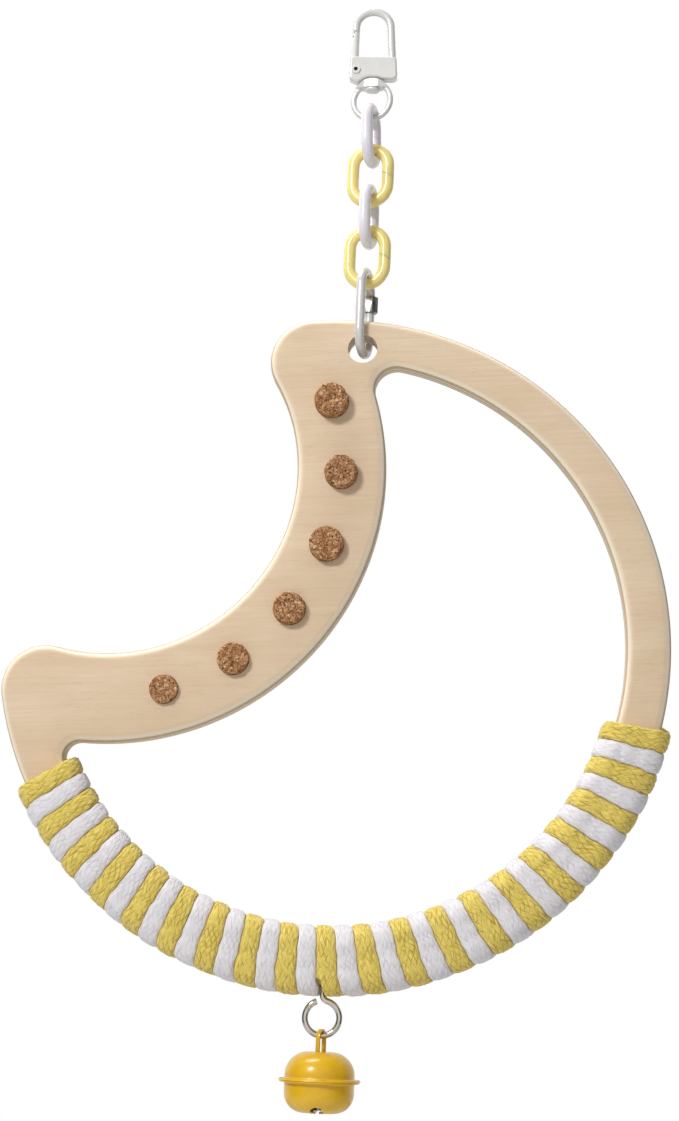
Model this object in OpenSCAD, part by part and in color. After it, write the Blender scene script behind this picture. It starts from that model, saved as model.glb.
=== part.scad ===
// A hanging ring swing for a small cage bird: a snap hook, a plastic chain, a quick link, and a
// plywood ring with cork plugs, a cord-wound perch and a bell.
// Millimetres, Z up, front towards -Y. The origin is the inside top of the hook's bow.

/* [Hook] */
// Diameter of the cast bow
bow_wire_d = 3; // [2.4:0.1:3.4]
// Outside width of the bow at its arc
bow_outer_w = 16; // [15:0.2:19]
// Height from the bow's inside top down to the body
bow_inside_h = 17.2; // [14:0.2:26]
// Outward lean of the bow's long leg, degrees
leg_lean = 4; // [1:0.5:6]
// Height of the hook's body
hook_body_h = 8.8; // [8.4:0.2:12]
// Thickness of the hook's body, front to back
hook_body_t = 4.8; // [4.4:0.1:7]
// Diameter of the gate
gate_d = 2.9; // [2.2:0.1:3]
// How far the gate opens, degrees
gate_open = 28; // [10:1:28]
// Diameter of the hollow rivet that the gate turns on
rivet_d = 2; // [1.6:0.1:2.4]
// Bore of the rivet
rivet_bore_d = 1.2; // [0.6:0.1:1.2]

/* [Swivel] */
// Diameter of the swivel stud
stud_d = 2.6; // [2:0.1:3]
// Diameter of the stud's head
stud_head_d = 5.4; // [4.6:0.1:6.4]
// Thickness of the stud's head
stud_head_t = 1.2; // [0.8:0.1:2]
// Wire diameter of the swivel ring
ring_wire_d = 2.2; // [1.8:0.1:2.6]
// Outside diameter of the swivel ring
ring_outer_d = 16.2; // [15.4:0.2:18]
// Height of the ring's thick top
ring_top_h = 3.4; // [3:0.1:3.8]
// Depth of the ring's thick top, front to back
ring_top_depth = 5.4; // [4:0.2:5.6]

/* [Chain] */
// Length of a chain link
link_l = 24.8; // [22:0.2:30]
// Width of a chain link
link_w = 17.6; // [16:0.2:20]
// Thickness of a chain link
link_d = 4.4; // [3.4:0.1:4.6]
// Width of the slit that closes a link
link_slit = 0.4; // [0.2:0.1:0.8]
// Turn of the chain about its own length, degrees
chain_yaw = -11; // [-12:1:12]
// Sideways tilt of the first link, degrees
first_link_roll = 2; // [0:0.5:3]

/* [Quick link] */
// Wire diameter of the quick link
quick_d = 3.5; // [3:0.1:3.6]
// Outside width of the quick link
quick_w = 17.8; // [17.6:0.2:20]
// Outside length of the quick link
quick_l = 34.2; // [32:0.2:40]
// Opening in its rear leg
quick_gap = 4; // [3.6:0.1:4.4]
// Width of the screw sleeve across its flats
sleeve_af = 5.2; // [4.8:0.1:5.6]
// Length of the screw sleeve
sleeve_l = 6; // [5.4:0.1:7]

/* [Board] */
// Outside diameter of the plywood ring
board_d = 237.5; // [225:0.5:260]
// Width of the ring's rim
rim_w = 15.75; // [14:0.25:18]
// Thickness of the plywood
board_t = 10; // [8:0.5:10]
// Rounding of the board's edges
edge_r = 3; // [1:0.1:3.4]
// Radius of the bite in the ring's upper left
bite_r = 66.9; // [60:0.1:72]
// Distance from the ring's centre to the bite's centre
bite_dist = 102; // [98:0.5:108]
// Direction of the bite from the ring's centre, degrees
bite_dir = 140; // [137:1:143]
// Width of the arm along the bite
arm_w = 31.8; // [28:0.2:34]
// Radius of the board's two rounded lobes
lobe_r = 15.5; // [14:0.1:17]
// Radius of the opening's upper corner
upper_corner_r = 8; // [5:0.1:10]
// Radius of the opening's lower left corner
lower_corner_r = 5.5; // [4:0.1:5.6]
// Diameter of the hanging hole
hole_d = 10.7; // [10:0.1:11.4]
// Distance of the hole's centre inside the ring's outer edge
hole_inset = 11.1; // [10:0.1:12]
// Distance of the hole's centre to the right of the ring's centre
hole_x = 13.3; // [10:0.1:16]
// Lean of the hanging board about its hole, bottom to the right, degrees
board_lean = 3.6; // [0:0.1:5.4]

/* [Cork plugs] */
// Diameter of the first cork plug
cork_d = 12.2; // [10:0.1:14]
// Stand-out of the first plug in front of the board
cork_front = 5; // [4:0.1:6]
// Stand-out of the last plug in front of the board
cork_front_last = 2.2; // [1:0.1:4]
// Stand-out of the plugs behind the board
cork_back = 2; // [0.5:0.1:3]
// Chamfer of a plug's ends
cork_chamfer = 0.6; // [0.2:0.1:1]
// Direction of the first plug from the bite's centre, degrees
cork_first_dir = 15.2; // [14:0.2:18]
// Step from plug to plug, degrees
cork_step = 18.46; // [16:0.02:18.6]

/* [Perch cords] */
// Turns of the yellow cord; the white cord has one fewer
yellow_turns = 20; // [16:1:24]
// Thickness of the cords at the rim's middle
cord_t = 3.9; // [3:0.1:4.5]
// Gap between two cords, side by side
cord_gap = 0.35; // [0.3:0.05:0.6]
// Seat gap between the cords and the board
cord_seat = 0.25; // [0.2:0.05:0.5]
// Direction of the winding's left end, degrees below the horizontal, counted from the right
wrap_left = 156.8; // [150:0.1:157]
// Direction of the winding's right end, degrees below the horizontal
wrap_right = 17.5; // [15:0.1:30]

/* [Screw eye] */
// Wire diameter of the screw eye
eye_wire_d = 2.2; // [1.8:0.1:2.4]
// Outside diameter of the eye
eye_outer_d = 14; // [13:0.1:16]
// Distance of the screw eye to the left of the ring's centre
eye_left = 6.5; // [6:0.1:7]
// Depth of the shank in the wood
eye_depth = 11.5; // [8:0.5:12]
// Free width between the parted cords, each side of the shank
eye_parting = 1.75; // [1.7:0.05:2]

/* [Bell] */
// Diameter of the bell's shells
bell_d = 24; // [22:0.2:28]
// Diameter of the rim where the shells meet
bell_rim_d = 28; // [26.6:0.2:31]
// Thickness of the sheet metal
bell_wall = 0.6; // [0.4:0.1:0.8]
// Height of the upper shell
bell_top_h = 9.7; // [9:0.1:12]
// Height of the lower shell
bell_low_h = 10.7; // [10:0.1:13]
// Corner radius of the upper shell
bell_top_corner = 8; // [6:0.2:8.4]
// Corner radius of the lower shell
bell_low_corner = 6.6; // [5:0.2:7.4]
// Width of the sound slot
slot_w = 1.2; // [0.8:0.1:2]
// Diameter of the holes at the slot's ends
slot_hole_d = 4.6; // [4:0.1:5]
// Distance of the slot's end holes from the bell's axis
slot_hole_r = 8; // [6:0.1:8.4]
// Inside width of the hanging loop
loop_inner_w = 4.2; // [4:0.1:4.6]
// Height of the hanging loop above the bell
loop_h = 7.6; // [7.4:0.1:9]
// Width of the loop's strip
loop_strip_w = 1.5; // [1.2:0.1:1.6]
// Thickness of the loop's strip
loop_strip_t = 0.9; // [0.6:0.1:1]
// Turn of the bell about its own axis, degrees
bell_yaw = -20; // [-25:1:25]
// Diameter of the loose ball
ball_d = 6; // [5.4:0.1:7]

/* [Hidden] */

// Colours
hook_white = [0.92, 0.92, 0.90];
steel_grey = [0.62, 0.62, 0.62];
link_white = [0.93, 0.92, 0.95];
link_yellow = [0.96, 0.84, 0.42];
birch = [0.86, 0.76, 0.63];
cork_brown = [0.66, 0.46, 0.31];
cord_yellow = [0.87, 0.75, 0.28];
cord_white = [0.88, 0.87, 0.90];
nickel = [0.80, 0.78, 0.74];
bell_yellow = [0.89, 0.70, 0.20];

// Facets of round pieces, of the board's four arcs and of its rounded edges
$fn = 64;
arc_steps = [64, 12, 30, 12];
edge_steps = 3;

// Clearances, and the overrun of every cut
cut_over = 1;
running_fit = 0.06;
contact_gap = 0.2;
shell_gap = 0.05;
weld_swell = 0.1;

// Hook: places count down from the bow's inside top
bow_r = (bow_outer_w - bow_wire_d) / 2;
bow_z = -(bow_r - bow_wire_d / 2);
nose_drop = 1.7;
nose_z = bow_z - nose_drop;
lip_l = 2.1;
lip_t = 0.85;
lip_gap = 0.15;
body_top = -bow_inside_h;
body_bottom = body_top - hook_body_h;
body_sink = 1;
body_proud = 0.2;
body_corner = 1.2;
toe_l = 2.8;
toe_drop = 1.3;
arch_r = 9;
arch_rise = 0.8;
arch_left = 0.3;
swivel_x = 0.5;
leg_start = [bow_r * cos(leg_lean), bow_z + bow_r * sin(leg_lean)];
gate_side_gap = 0.1;
pivot_in = 0.7;
pivot_up = 3.5;
pivot = [-bow_r + pivot_in, body_bottom + pivot_up];
foot_r = 1.9;
foot_t = gate_d - gate_side_gap;
gate_floor_gap = 0.3;
rivet_head_d = 3.5;
rivet_head_t = 0.4;
spring_d = 2.2;
spring_bore_d = 1.4;
spring_rise = 3;
spring_seat_l = 4.5;
spring_gap = 0.1;
stud_top_wall = 0.5;
slot_x = slot_reach(gate_d / 2 - pivot_in, body_top - pivot[1]) + pivot[0] + gate_side_gap;
spring_z = pivot[1] + spring_rise;
spring_end = slot_x + spring_seat_l;
stud_top = spring_z - spring_d / 2 - spring_gap - stud_top_wall;

// Swivel ring
ring_play = 0.7;
ring_r = (ring_outer_d - ring_wire_d) / 2;
ring_z = body_bottom + arch_rise - ring_play - ring_outer_d / 2;
ring_chord = ring_outer_d / 2 - ring_top_h;
ring_flat_w = 5.2;
ring_flare_w = 12.6;
head_gap = 0.1;
head_round = 0.3;
head_top = ring_z + ring_chord - head_gap;

// Chain: each pivot is the middle of the wire that the next piece hangs on
link_r = (link_w - link_d) / 2;
link_inner = link_l - 2 * link_d;
link_step = link_inner - contact_gap;
pivot_1 = [swivel_x, 0, ring_z - ring_r];
first_arm = link_inner - contact_gap - ring_wire_d / 2 + link_d / 2;
pivot_2 = pivot_1 + first_arm * [sin(first_link_roll), 0, -cos(first_link_roll)];
function chain_pivot(i) = i == 1 ? pivot_1 : pivot_2 - [0, 0, (i - 2) * link_step];

// Quick link
quick_r = (quick_w - quick_d) / 2;
quick_straight = quick_l - quick_w;
quick_top = chain_pivot(5)[2] + link_d / 2 + contact_gap + quick_d;
quick_mid = quick_top - quick_l / 2;
quick_floor = quick_top - quick_l + quick_d;
gap_below_top = 0.8;
sleeve_top = quick_mid + quick_straight / 2;
sleeve_chamfer = 0.3;

// Board: its outline is worked out around the ring's centre, and the bite's centre from there
board_r = board_d / 2;
rim_in_r = board_r - rim_w;
arm_r = bite_r + arm_w;
bite = bite_dist * [cos(bite_dir), sin(bite_dir)];
quick_in_r = quick_r - quick_d / 2;
half_chord = board_t / 2 / cos(chain_yaw);
saddle_rise = quick_in_r - sqrt(pow(quick_in_r, 2) - pow(half_chord, 2));
saddle_gap = 0.45;
hole_y = sqrt(pow(board_r - hole_inset, 2) - pow(hole_x, 2));
hole_at = [chain_pivot(5)[0], quick_floor + saddle_rise + saddle_gap - hole_d / 2];

// Cork plugs
plug_share = [1, 0.97, 1.01, 0.95, 0.93, 0.84];
plug_line_r = bite_r + arm_w / 2;

// Cords: a turn starts at the middle of the back and goes over the inner edge to the front
white_turns = yellow_turns - 1;
stripes = yellow_turns + white_turns;
lean_share = 0.75;
flat_share = 0.6;
corner_steps = 3;
rim_mid_r = board_r - rim_w / 2;
side_flat = rim_w / 2 - edge_r;
edge_flat = board_t / 2 - edge_r;
corner_run = (edge_r + cord_seat + cord_t / 2) * PI / 2;
turn_run = 4 * side_flat + 4 * edge_flat + 4 * corner_run;

// Screw eye, placed from the ring's centre: the wire leaves the eye and bends back to the shank
eye_r = (eye_outer_d - eye_wire_d) / 2;
eye_gap = 0.15;
eye_open_dir = 106;
neck_r = 2.5;
shank_off = 0.3;
cord_outer_t = cord_t * rim_mid_r / (board_r + cord_t / 2);
rim_bottom = -sqrt(pow(board_r, 2) - pow(eye_left, 2));
eye_low = rim_bottom - cord_seat - cord_outer_t - eye_gap - eye_outer_d / 2;
neck_rise = sqrt(pow(eye_r + neck_r, 2) - pow(neck_r + shank_off, 2));
neck_dir = atan2(neck_rise, neck_r + shank_off);
shank_x = shank_off - eye_left;
shank_dir = acos(shank_x / board_r);

// Bell: it hangs plumb under the eye, wherever the board's lean takes that
eye_from_hole = [-eye_left - hole_x, eye_low - hole_y];
bell_x = hole_at[0] + eye_from_hole[0] * cos(board_lean) - eye_from_hole[1] * sin(board_lean);
eye_z = hole_at[1] + eye_from_hole[0] * sin(board_lean) + eye_from_hole[1] * cos(board_lean);
bell_z = eye_z - eye_r + eye_wire_d / 2 + contact_gap + loop_strip_t - loop_h;
seam_z = bell_z - bell_top_h;
bell_foot_z = seam_z - bell_low_h;
tab_l = 1.5;
ball_gap = 0.15;

function slot_reach(inset, height) =
  inset * cos(gate_open) + (height + inset * sin(gate_open)) * tan(gate_open);
function leg_x(z) = leg_start[0] + (leg_start[1] - z) * tan(leg_lean);
function direction(v) = atan2(v[1], v[0]);
function at_angle(r, a) = r * [cos(a), sin(a)];
function spread(r, far) =
  acos((pow(r, 2) + pow(bite_dist, 2) - pow(far, 2)) / (2 * r * bite_dist));
function lobe_dir(side) = bite_dir - side * spread(board_r - lobe_r, bite_r + lobe_r);
function lobe(side) = at_angle(board_r - lobe_r, lobe_dir(side));
function corner_dir(side, r) = bite_dir - side * spread(rim_in_r - r, arm_r + r);
function corner(side, r) = at_angle(rim_in_r - r, corner_dir(side, r));
function plug_dir(i) = cork_first_dir - (i - 1) * cork_step;
function plug_place(i) = bite + at_angle(plug_line_r, plug_dir(i));
function plug_front(i) = cork_front + (cork_front_last - cork_front) * (i - 1) / 5;

// Hangs what is drawn around the ring's centre on the quick link
module on_board() {
  translate([hole_at[0], 0, hole_at[1]]) rotate([0, -board_lean, 0])
    translate([-hole_x, 0, -hole_y]) children();
}

// Lays a flat outline, drawn in x and z, upright in the X-Z plane
module upright() {
  rotate([90, 0, 0]) children();
}

// A stretch of round wire bent to an arc about Y
module wire_arc(r, d, from, to) {
  upright() rotate_extrude(angle = to - from, start = from) translate([r, 0]) circle(d = d);
}

// An oval of round wire in the X-Z plane
module wire_oval(l, w, d) {
  r = (w - d) / 2;
  straight = l - w;
  translate([0, 0, straight / 2]) wire_arc(r, d, 0, 180);
  translate([0, 0, -straight / 2]) wire_arc(r, d, 180, 360);
  for (side = [-1, 1])
    translate([side * r, 0, -straight / 2]) cylinder(h = straight, d = d);
}

module hook_outline() {
  left = -bow_r - bow_wire_d / 2 - body_proud;
  right_top = leg_x(body_top) + bow_wire_d / 2 + body_proud;
  right_low = leg_x(body_bottom) + bow_wire_d / 2 + body_proud;
  difference() {
    polygon([
      [left, body_top],
      [left, body_bottom],
      [left + toe_l, body_bottom - toe_drop],
      [swivel_x, body_bottom - toe_drop],
      [arch_r / 2, body_bottom],
      [right_low - body_corner, body_bottom],
      [right_low, body_bottom + body_corner],
      [right_top, body_top]
    ]);
    translate([swivel_x - arch_left, body_bottom + arch_rise - arch_r]) circle(arch_r);
  }
}

module hook_body() {
  leg_l = (leg_start[1] - body_top + body_sink) / cos(leg_lean);
  color(hook_white) difference() {
    union() {
      upright() linear_extrude(hook_body_t, center = true) hook_outline();
      translate([0, 0, bow_z]) wire_arc(bow_r, bow_wire_d, leg_lean, 180);
      translate([leg_start[0], 0, leg_start[1]]) {
        sphere(d = bow_wire_d + weld_swell);
        rotate([0, 180 - leg_lean, 0]) cylinder(h = leg_l, d = bow_wire_d);
      }
      translate([-bow_r, 0, nose_z]) cylinder(h = bow_z - nose_z, d = bow_wire_d);
      translate([-bow_r, 0, nose_z - lip_l]) intersection() {
        cylinder(h = lip_l, d = bow_wire_d);
        translate([-bow_wire_d / 2, -bow_wire_d / 2, 0]) cube([lip_t, bow_wire_d, lip_l]);
      }
    }
    gate_slot();
    translate([pivot[0], 0, pivot[1]]) upright()
      cylinder(h = hook_body_t + cut_over, d = rivet_d + 2 * running_fit, center = true);
    translate([slot_x - cut_over, 0, spring_z]) rotate([0, 90, 0])
      cylinder(h = spring_seat_l + cut_over, d = spring_d + 2 * spring_gap);
    translate([swivel_x, 0, body_bottom - cut_over])
      cylinder(h = stud_top - body_bottom + cut_over + running_fit, d = stud_d + 2 * running_fit);
  }
}

// The slot that the gate swings in, open to the left and upwards
module gate_slot() {
  slot_t = gate_d + 2 * gate_side_gap;
  floor_z = pivot[1] - foot_r - gate_floor_gap;
  left = -bow_r - bow_wire_d / 2 - body_proud - cut_over;
  translate([left, -slot_t / 2, floor_z])
    cube([slot_x - left, slot_t, body_top + cut_over - floor_z]);
}

module hook_gate() {
  tip = nose_z - lip_gap;
  color(hook_white) difference() {
    union() {
      translate([-bow_r, 0, pivot[1]]) cylinder(h = tip - pivot[1], d = gate_d);
      translate([pivot[0], 0, pivot[1]]) upright() cylinder(h = foot_t, r = foot_r, center = true);
    }
    translate([-bow_r - bow_wire_d / 2 - cut_over, -bow_wire_d / 2, nose_z - lip_l - lip_gap])
      cube([cut_over + lip_t + lip_gap, bow_wire_d, lip_l + lip_gap + cut_over]);
    translate([pivot[0], 0, pivot[1]]) upright()
      cylinder(h = gate_d + cut_over, d = rivet_d + 2 * running_fit, center = true);
  }
}

module gate_pin() {
  color(hook_white) translate([pivot[0], 0, pivot[1]]) upright() difference() {
    union() {
      cylinder(h = hook_body_t + 2 * shell_gap, d = rivet_d, center = true);
      for (side = [-1, 1])
        translate([0, 0, side * (hook_body_t / 2 + shell_gap + rivet_head_t / 2)])
          cylinder(h = rivet_head_t, d = rivet_head_d, center = true);
    }
    cylinder(h = hook_body_t + 2 * rivet_head_t + cut_over, d = rivet_bore_d, center = true);
  }
}

module gate_spring() {
  start = -bow_r + gate_d / 2 + spring_gap;
  color(steel_grey) translate([start, 0, spring_z]) rotate([0, 90, 0]) difference() {
    cylinder(h = spring_end - spring_gap - start, d = spring_d);
    translate([0, 0, -cut_over])
      cylinder(h = spring_end - start + 2 * cut_over, d = spring_bore_d);
  }
}

module swivel_stud() {
  color(hook_white) translate([swivel_x, 0, 0]) {
    translate([0, 0, head_top]) cylinder(h = stud_top - head_top, d = stud_d);
    translate([0, 0, head_top - stud_head_t + head_round])
      cylinder(h = stud_head_t - head_round, d = stud_head_d);
    translate([0, 0, head_top - stud_head_t])
      cylinder(h = head_round, d1 = stud_head_d - 2 * head_round, d2 = stud_head_d);
  }
}

// The ring's thick top, cut from a disc and narrowed to the wire at its ends
module ring_top() {
  outer = ring_outer_d / 2;
  intersection() {
    upright() linear_extrude(ring_top_depth, center = true) intersection() {
      circle(outer);
      translate([-outer, ring_chord]) square([ring_outer_d, outer]);
    }
    translate([0, 0, ring_chord]) linear_extrude(outer) polygon([
      for (side = [-1, 1], p = [
        [-ring_flare_w, ring_wire_d], [-ring_flat_w, ring_top_depth],
        [ring_flat_w, ring_top_depth], [ring_flare_w, ring_wire_d]
      ]) side * p / 2
    ]);
  }
}

module swivel_ring() {
  color(hook_white) translate([swivel_x, 0, ring_z]) rotate([0, 0, chain_yaw]) difference() {
    union() {
      wire_arc(ring_r, ring_wire_d, 0, 360);
      ring_top();
    }
    translate([0, 0, ring_chord - cut_over])
      cylinder(h = ring_outer_d / 2, d = stud_d + 2 * running_fit);
  }
}

// A plastic link; its top bow hangs over the wire at its pivot, whose thickness is given
module chain_link(i, hung_on_d) {
  shade = i % 2 == 1 ? link_white : link_yellow;
  turn = i % 2 == 1 ? 90 : 0;
  roll = i == 1 ? -first_link_roll : 0;
  slit_lean = 30;
  drop = link_inner / 2 - hung_on_d / 2 - contact_gap;
  color(shade) translate(chain_pivot(i)) rotate([0, roll, 0]) rotate([0, 0, chain_yaw + turn])
    translate([0, 0, -drop]) difference() {
      wire_oval(link_l, link_w, link_d);
      translate([link_r, 0, 0]) rotate([0, slit_lean, 0])
        cube([2 * link_d, 2 * link_d, link_slit], center = true);
    }
}

module quick_link() {
  gap_top = sleeve_top - gap_below_top;
  color(link_white) translate([chain_pivot(5)[0], 0, 0]) rotate([0, 0, chain_yaw + 90])
    difference() {
      translate([0, 0, quick_mid]) wire_oval(quick_l, quick_w, quick_d);
      translate([quick_r - quick_d, -quick_d, gap_top - quick_gap])
        cube([2 * quick_d, 2 * quick_d, quick_gap]);
    }
}

module quick_link_sleeve() {
  color(steel_grey) translate([chain_pivot(5)[0], 0, 0]) rotate([0, 0, chain_yaw + 90])
    translate([quick_r, 0, sleeve_top - sleeve_l]) difference() {
      cylinder(h = sleeve_l, d = sleeve_af / cos(30), $fn = 6);
      translate([0, 0, -cut_over])
        cylinder(h = sleeve_l + 2 * cut_over, d = quick_d + 2 * running_fit);
    }
}

// Stops along an arc of the outline: each a point and the way out of the wood there.
// An arc is its centre, radius, first and last direction, and 1 where the wood lies inside it.
function arc_stops(arc, n) = [
  for (k = [0:n - 1])
    let (out = at_angle(1, arc[2] + (arc[3] - arc[2]) * k / n))
    [arc[0] + arc[1] * out, arc[4] * out]
];
// The outer edge and the opening's edge, arc by arc, counterclockwise from the lower left
function outer_arcs() =
  let (top = lobe(1), low = lobe(-1))
  [
    [[0, 0], board_r, lobe_dir(-1) - 360, lobe_dir(1), 1],
    [top, lobe_r, lobe_dir(1), direction(bite - top) + 360, 1],
    [bite, bite_r, direction(top - bite), direction(low - bite), -1],
    [low, lobe_r, direction(bite - low), lobe_dir(-1), 1]
  ];
function opening_arcs() =
  let (r1 = upper_corner_r, r2 = lower_corner_r, up = corner(1, r1), down = corner(-1, r2))
  [
    [[0, 0], rim_in_r, corner_dir(-1, r2) - 360, corner_dir(1, r1), -1],
    [up, r1, corner_dir(1, r1), direction(bite - up) + 360, -1],
    [bite, arm_r, direction(up - bite), direction(down - bite), 1],
    [down, r2, direction(bite - down), corner_dir(-1, r2), -1]
  ];
// Four rounded edges of the board's section between two stops
function board_ring(outer, inner) = [
  for (edge = [[outer, -1, 0], [inner, -1, 1], [inner, 1, 0], [outer, 1, 1]])
    for (k = [0:edge_steps])
      let (
        a = 90 * (edge[2] == 0 ? k : edge_steps - k) / edge_steps,
        flat = edge[0][0] - edge_r * (1 - cos(a)) * edge[0][1]
      )
      [flat[0], edge[1] * (board_t / 2 - edge_r * (1 - sin(a))), flat[1]]
];

module board_blank() {
  outer = outer_arcs();
  inner = opening_arcs();
  tube([
    for (i = [0:3])
      let (o = arc_stops(outer[i], arc_steps[i]), n = arc_stops(inner[i], arc_steps[i]))
      for (k = [0:arc_steps[i] - 1]) board_ring(o[k], n[k])
  ], true);
}

module frame_board() {
  color(birch) on_board() difference() {
    board_blank();
    translate([hole_x, 0, hole_y]) upright()
      cylinder(h = board_t + cut_over, d = hole_d, center = true);
    for (i = [1:6])
      translate([plug_place(i)[0], 0, plug_place(i)[1]]) upright()
        cylinder(h = board_t + cut_over, d = cork_d * plug_share[i - 1] + 2 * shell_gap,
          center = true);
    translate([shank_x, 0, rim_bottom - cut_over])
      cylinder(h = eye_depth + running_fit + cut_over, d = eye_wire_d + 2 * running_fit);
  }
}

module cork_plug(i) {
  d = cork_d * plug_share[i - 1];
  front = board_t / 2 + plug_front(i);
  l = front + board_t / 2 + cork_back;
  p = plug_place(i);
  color(cork_brown) on_board() translate([p[0], -front, p[1]]) rotate([-90, 0, 0]) {
    cylinder(h = cork_chamfer, d1 = d - 2 * cork_chamfer, d2 = d);
    translate([0, 0, cork_chamfer]) cylinder(h = l - 2 * cork_chamfer, d = d);
    translate([0, 0, l - cork_chamfer])
      cylinder(h = cork_chamfer, d1 = d, d2 = d - 2 * cork_chamfer);
  }
}

// One stop of a cord on its way round the rim: the corner's number, the step in it, the run so far
function corner_stop(c, i) = [
  c, i,
  side_flat + c * corner_run + i / corner_steps * corner_run
    + (c > 0 ? 2 * edge_flat : 0) + (c > 1 ? 2 * side_flat : 0) + (c > 2 ? 2 * edge_flat : 0)
];
// A turn has four corners and a stop at the middle of the front, and one at the back
front_stop = [1.5, 0, turn_run / 2];
back_stop = [3.5, 0, turn_run];
turn_stops = [
  for (c = [0, 1], i = [0:corner_steps]) corner_stop(c, i),
  front_stop,
  for (c = [2, 3], i = [0:corner_steps]) corner_stop(c, i),
  back_stop
];
// The way out of the wood at a stop, in radius and y
function stop_dir(s) = floor(s[0]) != s[0] ? 90 * (s[0] + 0.5) : 90 * (s[0] + s[1] / corner_steps);
function stop_out(s) = [-sin(stop_dir(s)), cos(stop_dir(s))];
// The stop's place on the wood, in radius and y
function stop_skin(s) =
  let (out = stop_out(s), flat = floor(s[0]) != s[0],
    cr = s[0] == 0 || s[0] == 1 ? -1 : 1, cy = s[0] == 0 || s[0] == 3 ? 1 : -1)
  flat ? [rim_mid_r, out[1] * board_t / 2]
    : [rim_mid_r + cr * side_flat, cy * edge_flat] + edge_r * out;
// Turns made at a run, slow over the front and quick over the back
function turn_share(run) = run / turn_run + lean_share / (2 * PI) * sin(360 * run / turn_run);
// Stripes that pass the outer edge to the left of the shank: whole turns of both cords there,
// and the lean from the middle of the front to the outer edge
outer_run = (corner_stop(2, corner_steps)[2] + corner_stop(3, 0)[2]) / 2;
left_turns = round(stripes / 2 * (wrap_left - shank_dir) / (wrap_left - wrap_right));
left_stripes = 2 * (left_turns + turn_share(outer_run)) - 1;
// Direction of a stripe, counted from the left end, so that the shank stands between two cords
function stripe_dir(n) =
  n < left_stripes ? wrap_left - (wrap_left - shank_dir) * n / left_stripes
    : shank_dir - (shank_dir - wrap_right) * (n - left_stripes) / (stripes - left_stripes);
// The direction that leaves the shank free, for a point at a radius on the rim's outer edge
function parted(dir, n, r, s) =
  let (clear = eye_parting / r * 180 / PI, off = dir - shank_dir)
  stop_dir(s) != 270 || abs(n - left_stripes) > 1 ? dir
    : shank_dir + (n > left_stripes ? min(off, -clear) : max(off, clear));
// Six corners of a cord's section at a stop: two sides, two inside and two outside
function cord_ring(turn, s, shift) =
  let (
    n = 2 * (turn + turn_share(s[2])) - 1 / 2 + shift,
    skin = stop_skin(s), out = stop_out(s),
    t = cord_t * rim_mid_r / (skin[0] + out[0] * cord_t / 2)
  )
  [for (p = [[-1, 0.5], [-flat_share, 0], [flat_share, 0],
      [1, 0.5], [flat_share, 1], [-flat_share, 1]])
    let (
      place = skin + (cord_seat + p[1] * t) * out,
      half_gap = cord_gap / 2 / place[0] * 180 / PI,
      dir = parted(stripe_dir(n - p[0] / 2) - p[0] * half_gap, n, place[0], s)
    )
    [place[0] * cos(dir), place[1], -place[0] * sin(dir)]
  ];
function cord_rings(turns, shift) = [
  cord_ring(-1, corner_stop(3, corner_steps), shift),
  for (n = [0:turns - 1], k = [0:len(turn_stops) - 1])
    if (n < turns - 1 || k < len(turn_stops) - 1) cord_ring(n, turn_stops[k], shift),
  cord_ring(turns, corner_stop(0, 0), shift)
];
// Least gap between a cord's turns, measured between the corners of rings that lie past each other
function cord_least_gap(rings) =
  let (half = len(turn_stops) / 2)
  min([for (a = [0:len(rings) - 1])
    for (b = [a + half:1:min(a + 3 * half, len(rings) - 1)])
      for (p = rings[a], q = rings[b]) norm(p - q)]);

// A tube through the rings; one that is closed joins its last ring to its first
module tube(rings, closed = false) {
  n = len(rings);
  m = len(rings[0]);
  points = [for (ring = rings) each ring];
  sides = [for (a = [0:n - (closed ? 1 : 2)], i = [0:m - 1])
    let (j = (i + 1) % m, here = a * m, next = (a + 1) % n * m)
    each [[here + i, here + j, next + i], [here + j, next + j, next + i]]];
  ends = [for (i = [1:m - 2]) each
    [[0, i + 1, i], [(n - 1) * m, (n - 1) * m + i, (n - 1) * m + i + 1]]];
  polyhedron(points, concat(sides, closed ? [] : ends));
}

module wound_cord(name, turns, shift) {
  rings = cord_rings(turns, shift);
  echo(str(name, " least gap between its turns ", cord_least_gap(rings), " mm"));
  tube(rings);
}

module yellow_cord() {
  color(cord_yellow) on_board() wound_cord("yellow_cord", yellow_turns, 0);
}

module white_cord() {
  color(cord_white) on_board() wound_cord("white_cord", white_turns, 1);
}

module screw_eye() {
  shank_low = eye_low + neck_rise;
  color(nickel) on_board() {
    translate([-eye_left, 0, eye_low]) wire_arc(eye_r, eye_wire_d, eye_open_dir, 360 + neck_dir);
    translate([eye_r * cos(neck_dir) - eye_left, 0, eye_low + eye_r * sin(neck_dir)])
      sphere(d = eye_wire_d + weld_swell);
    translate([shank_x + neck_r, 0, shank_low])
      wire_arc(neck_r, eye_wire_d, 180, 180 + neck_dir);
    translate([shank_x, 0, shank_low]) {
      sphere(d = eye_wire_d + weld_swell);
      cylinder(h = rim_bottom + eye_depth - shank_low, d = eye_wire_d);
    }
  }
}

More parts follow.
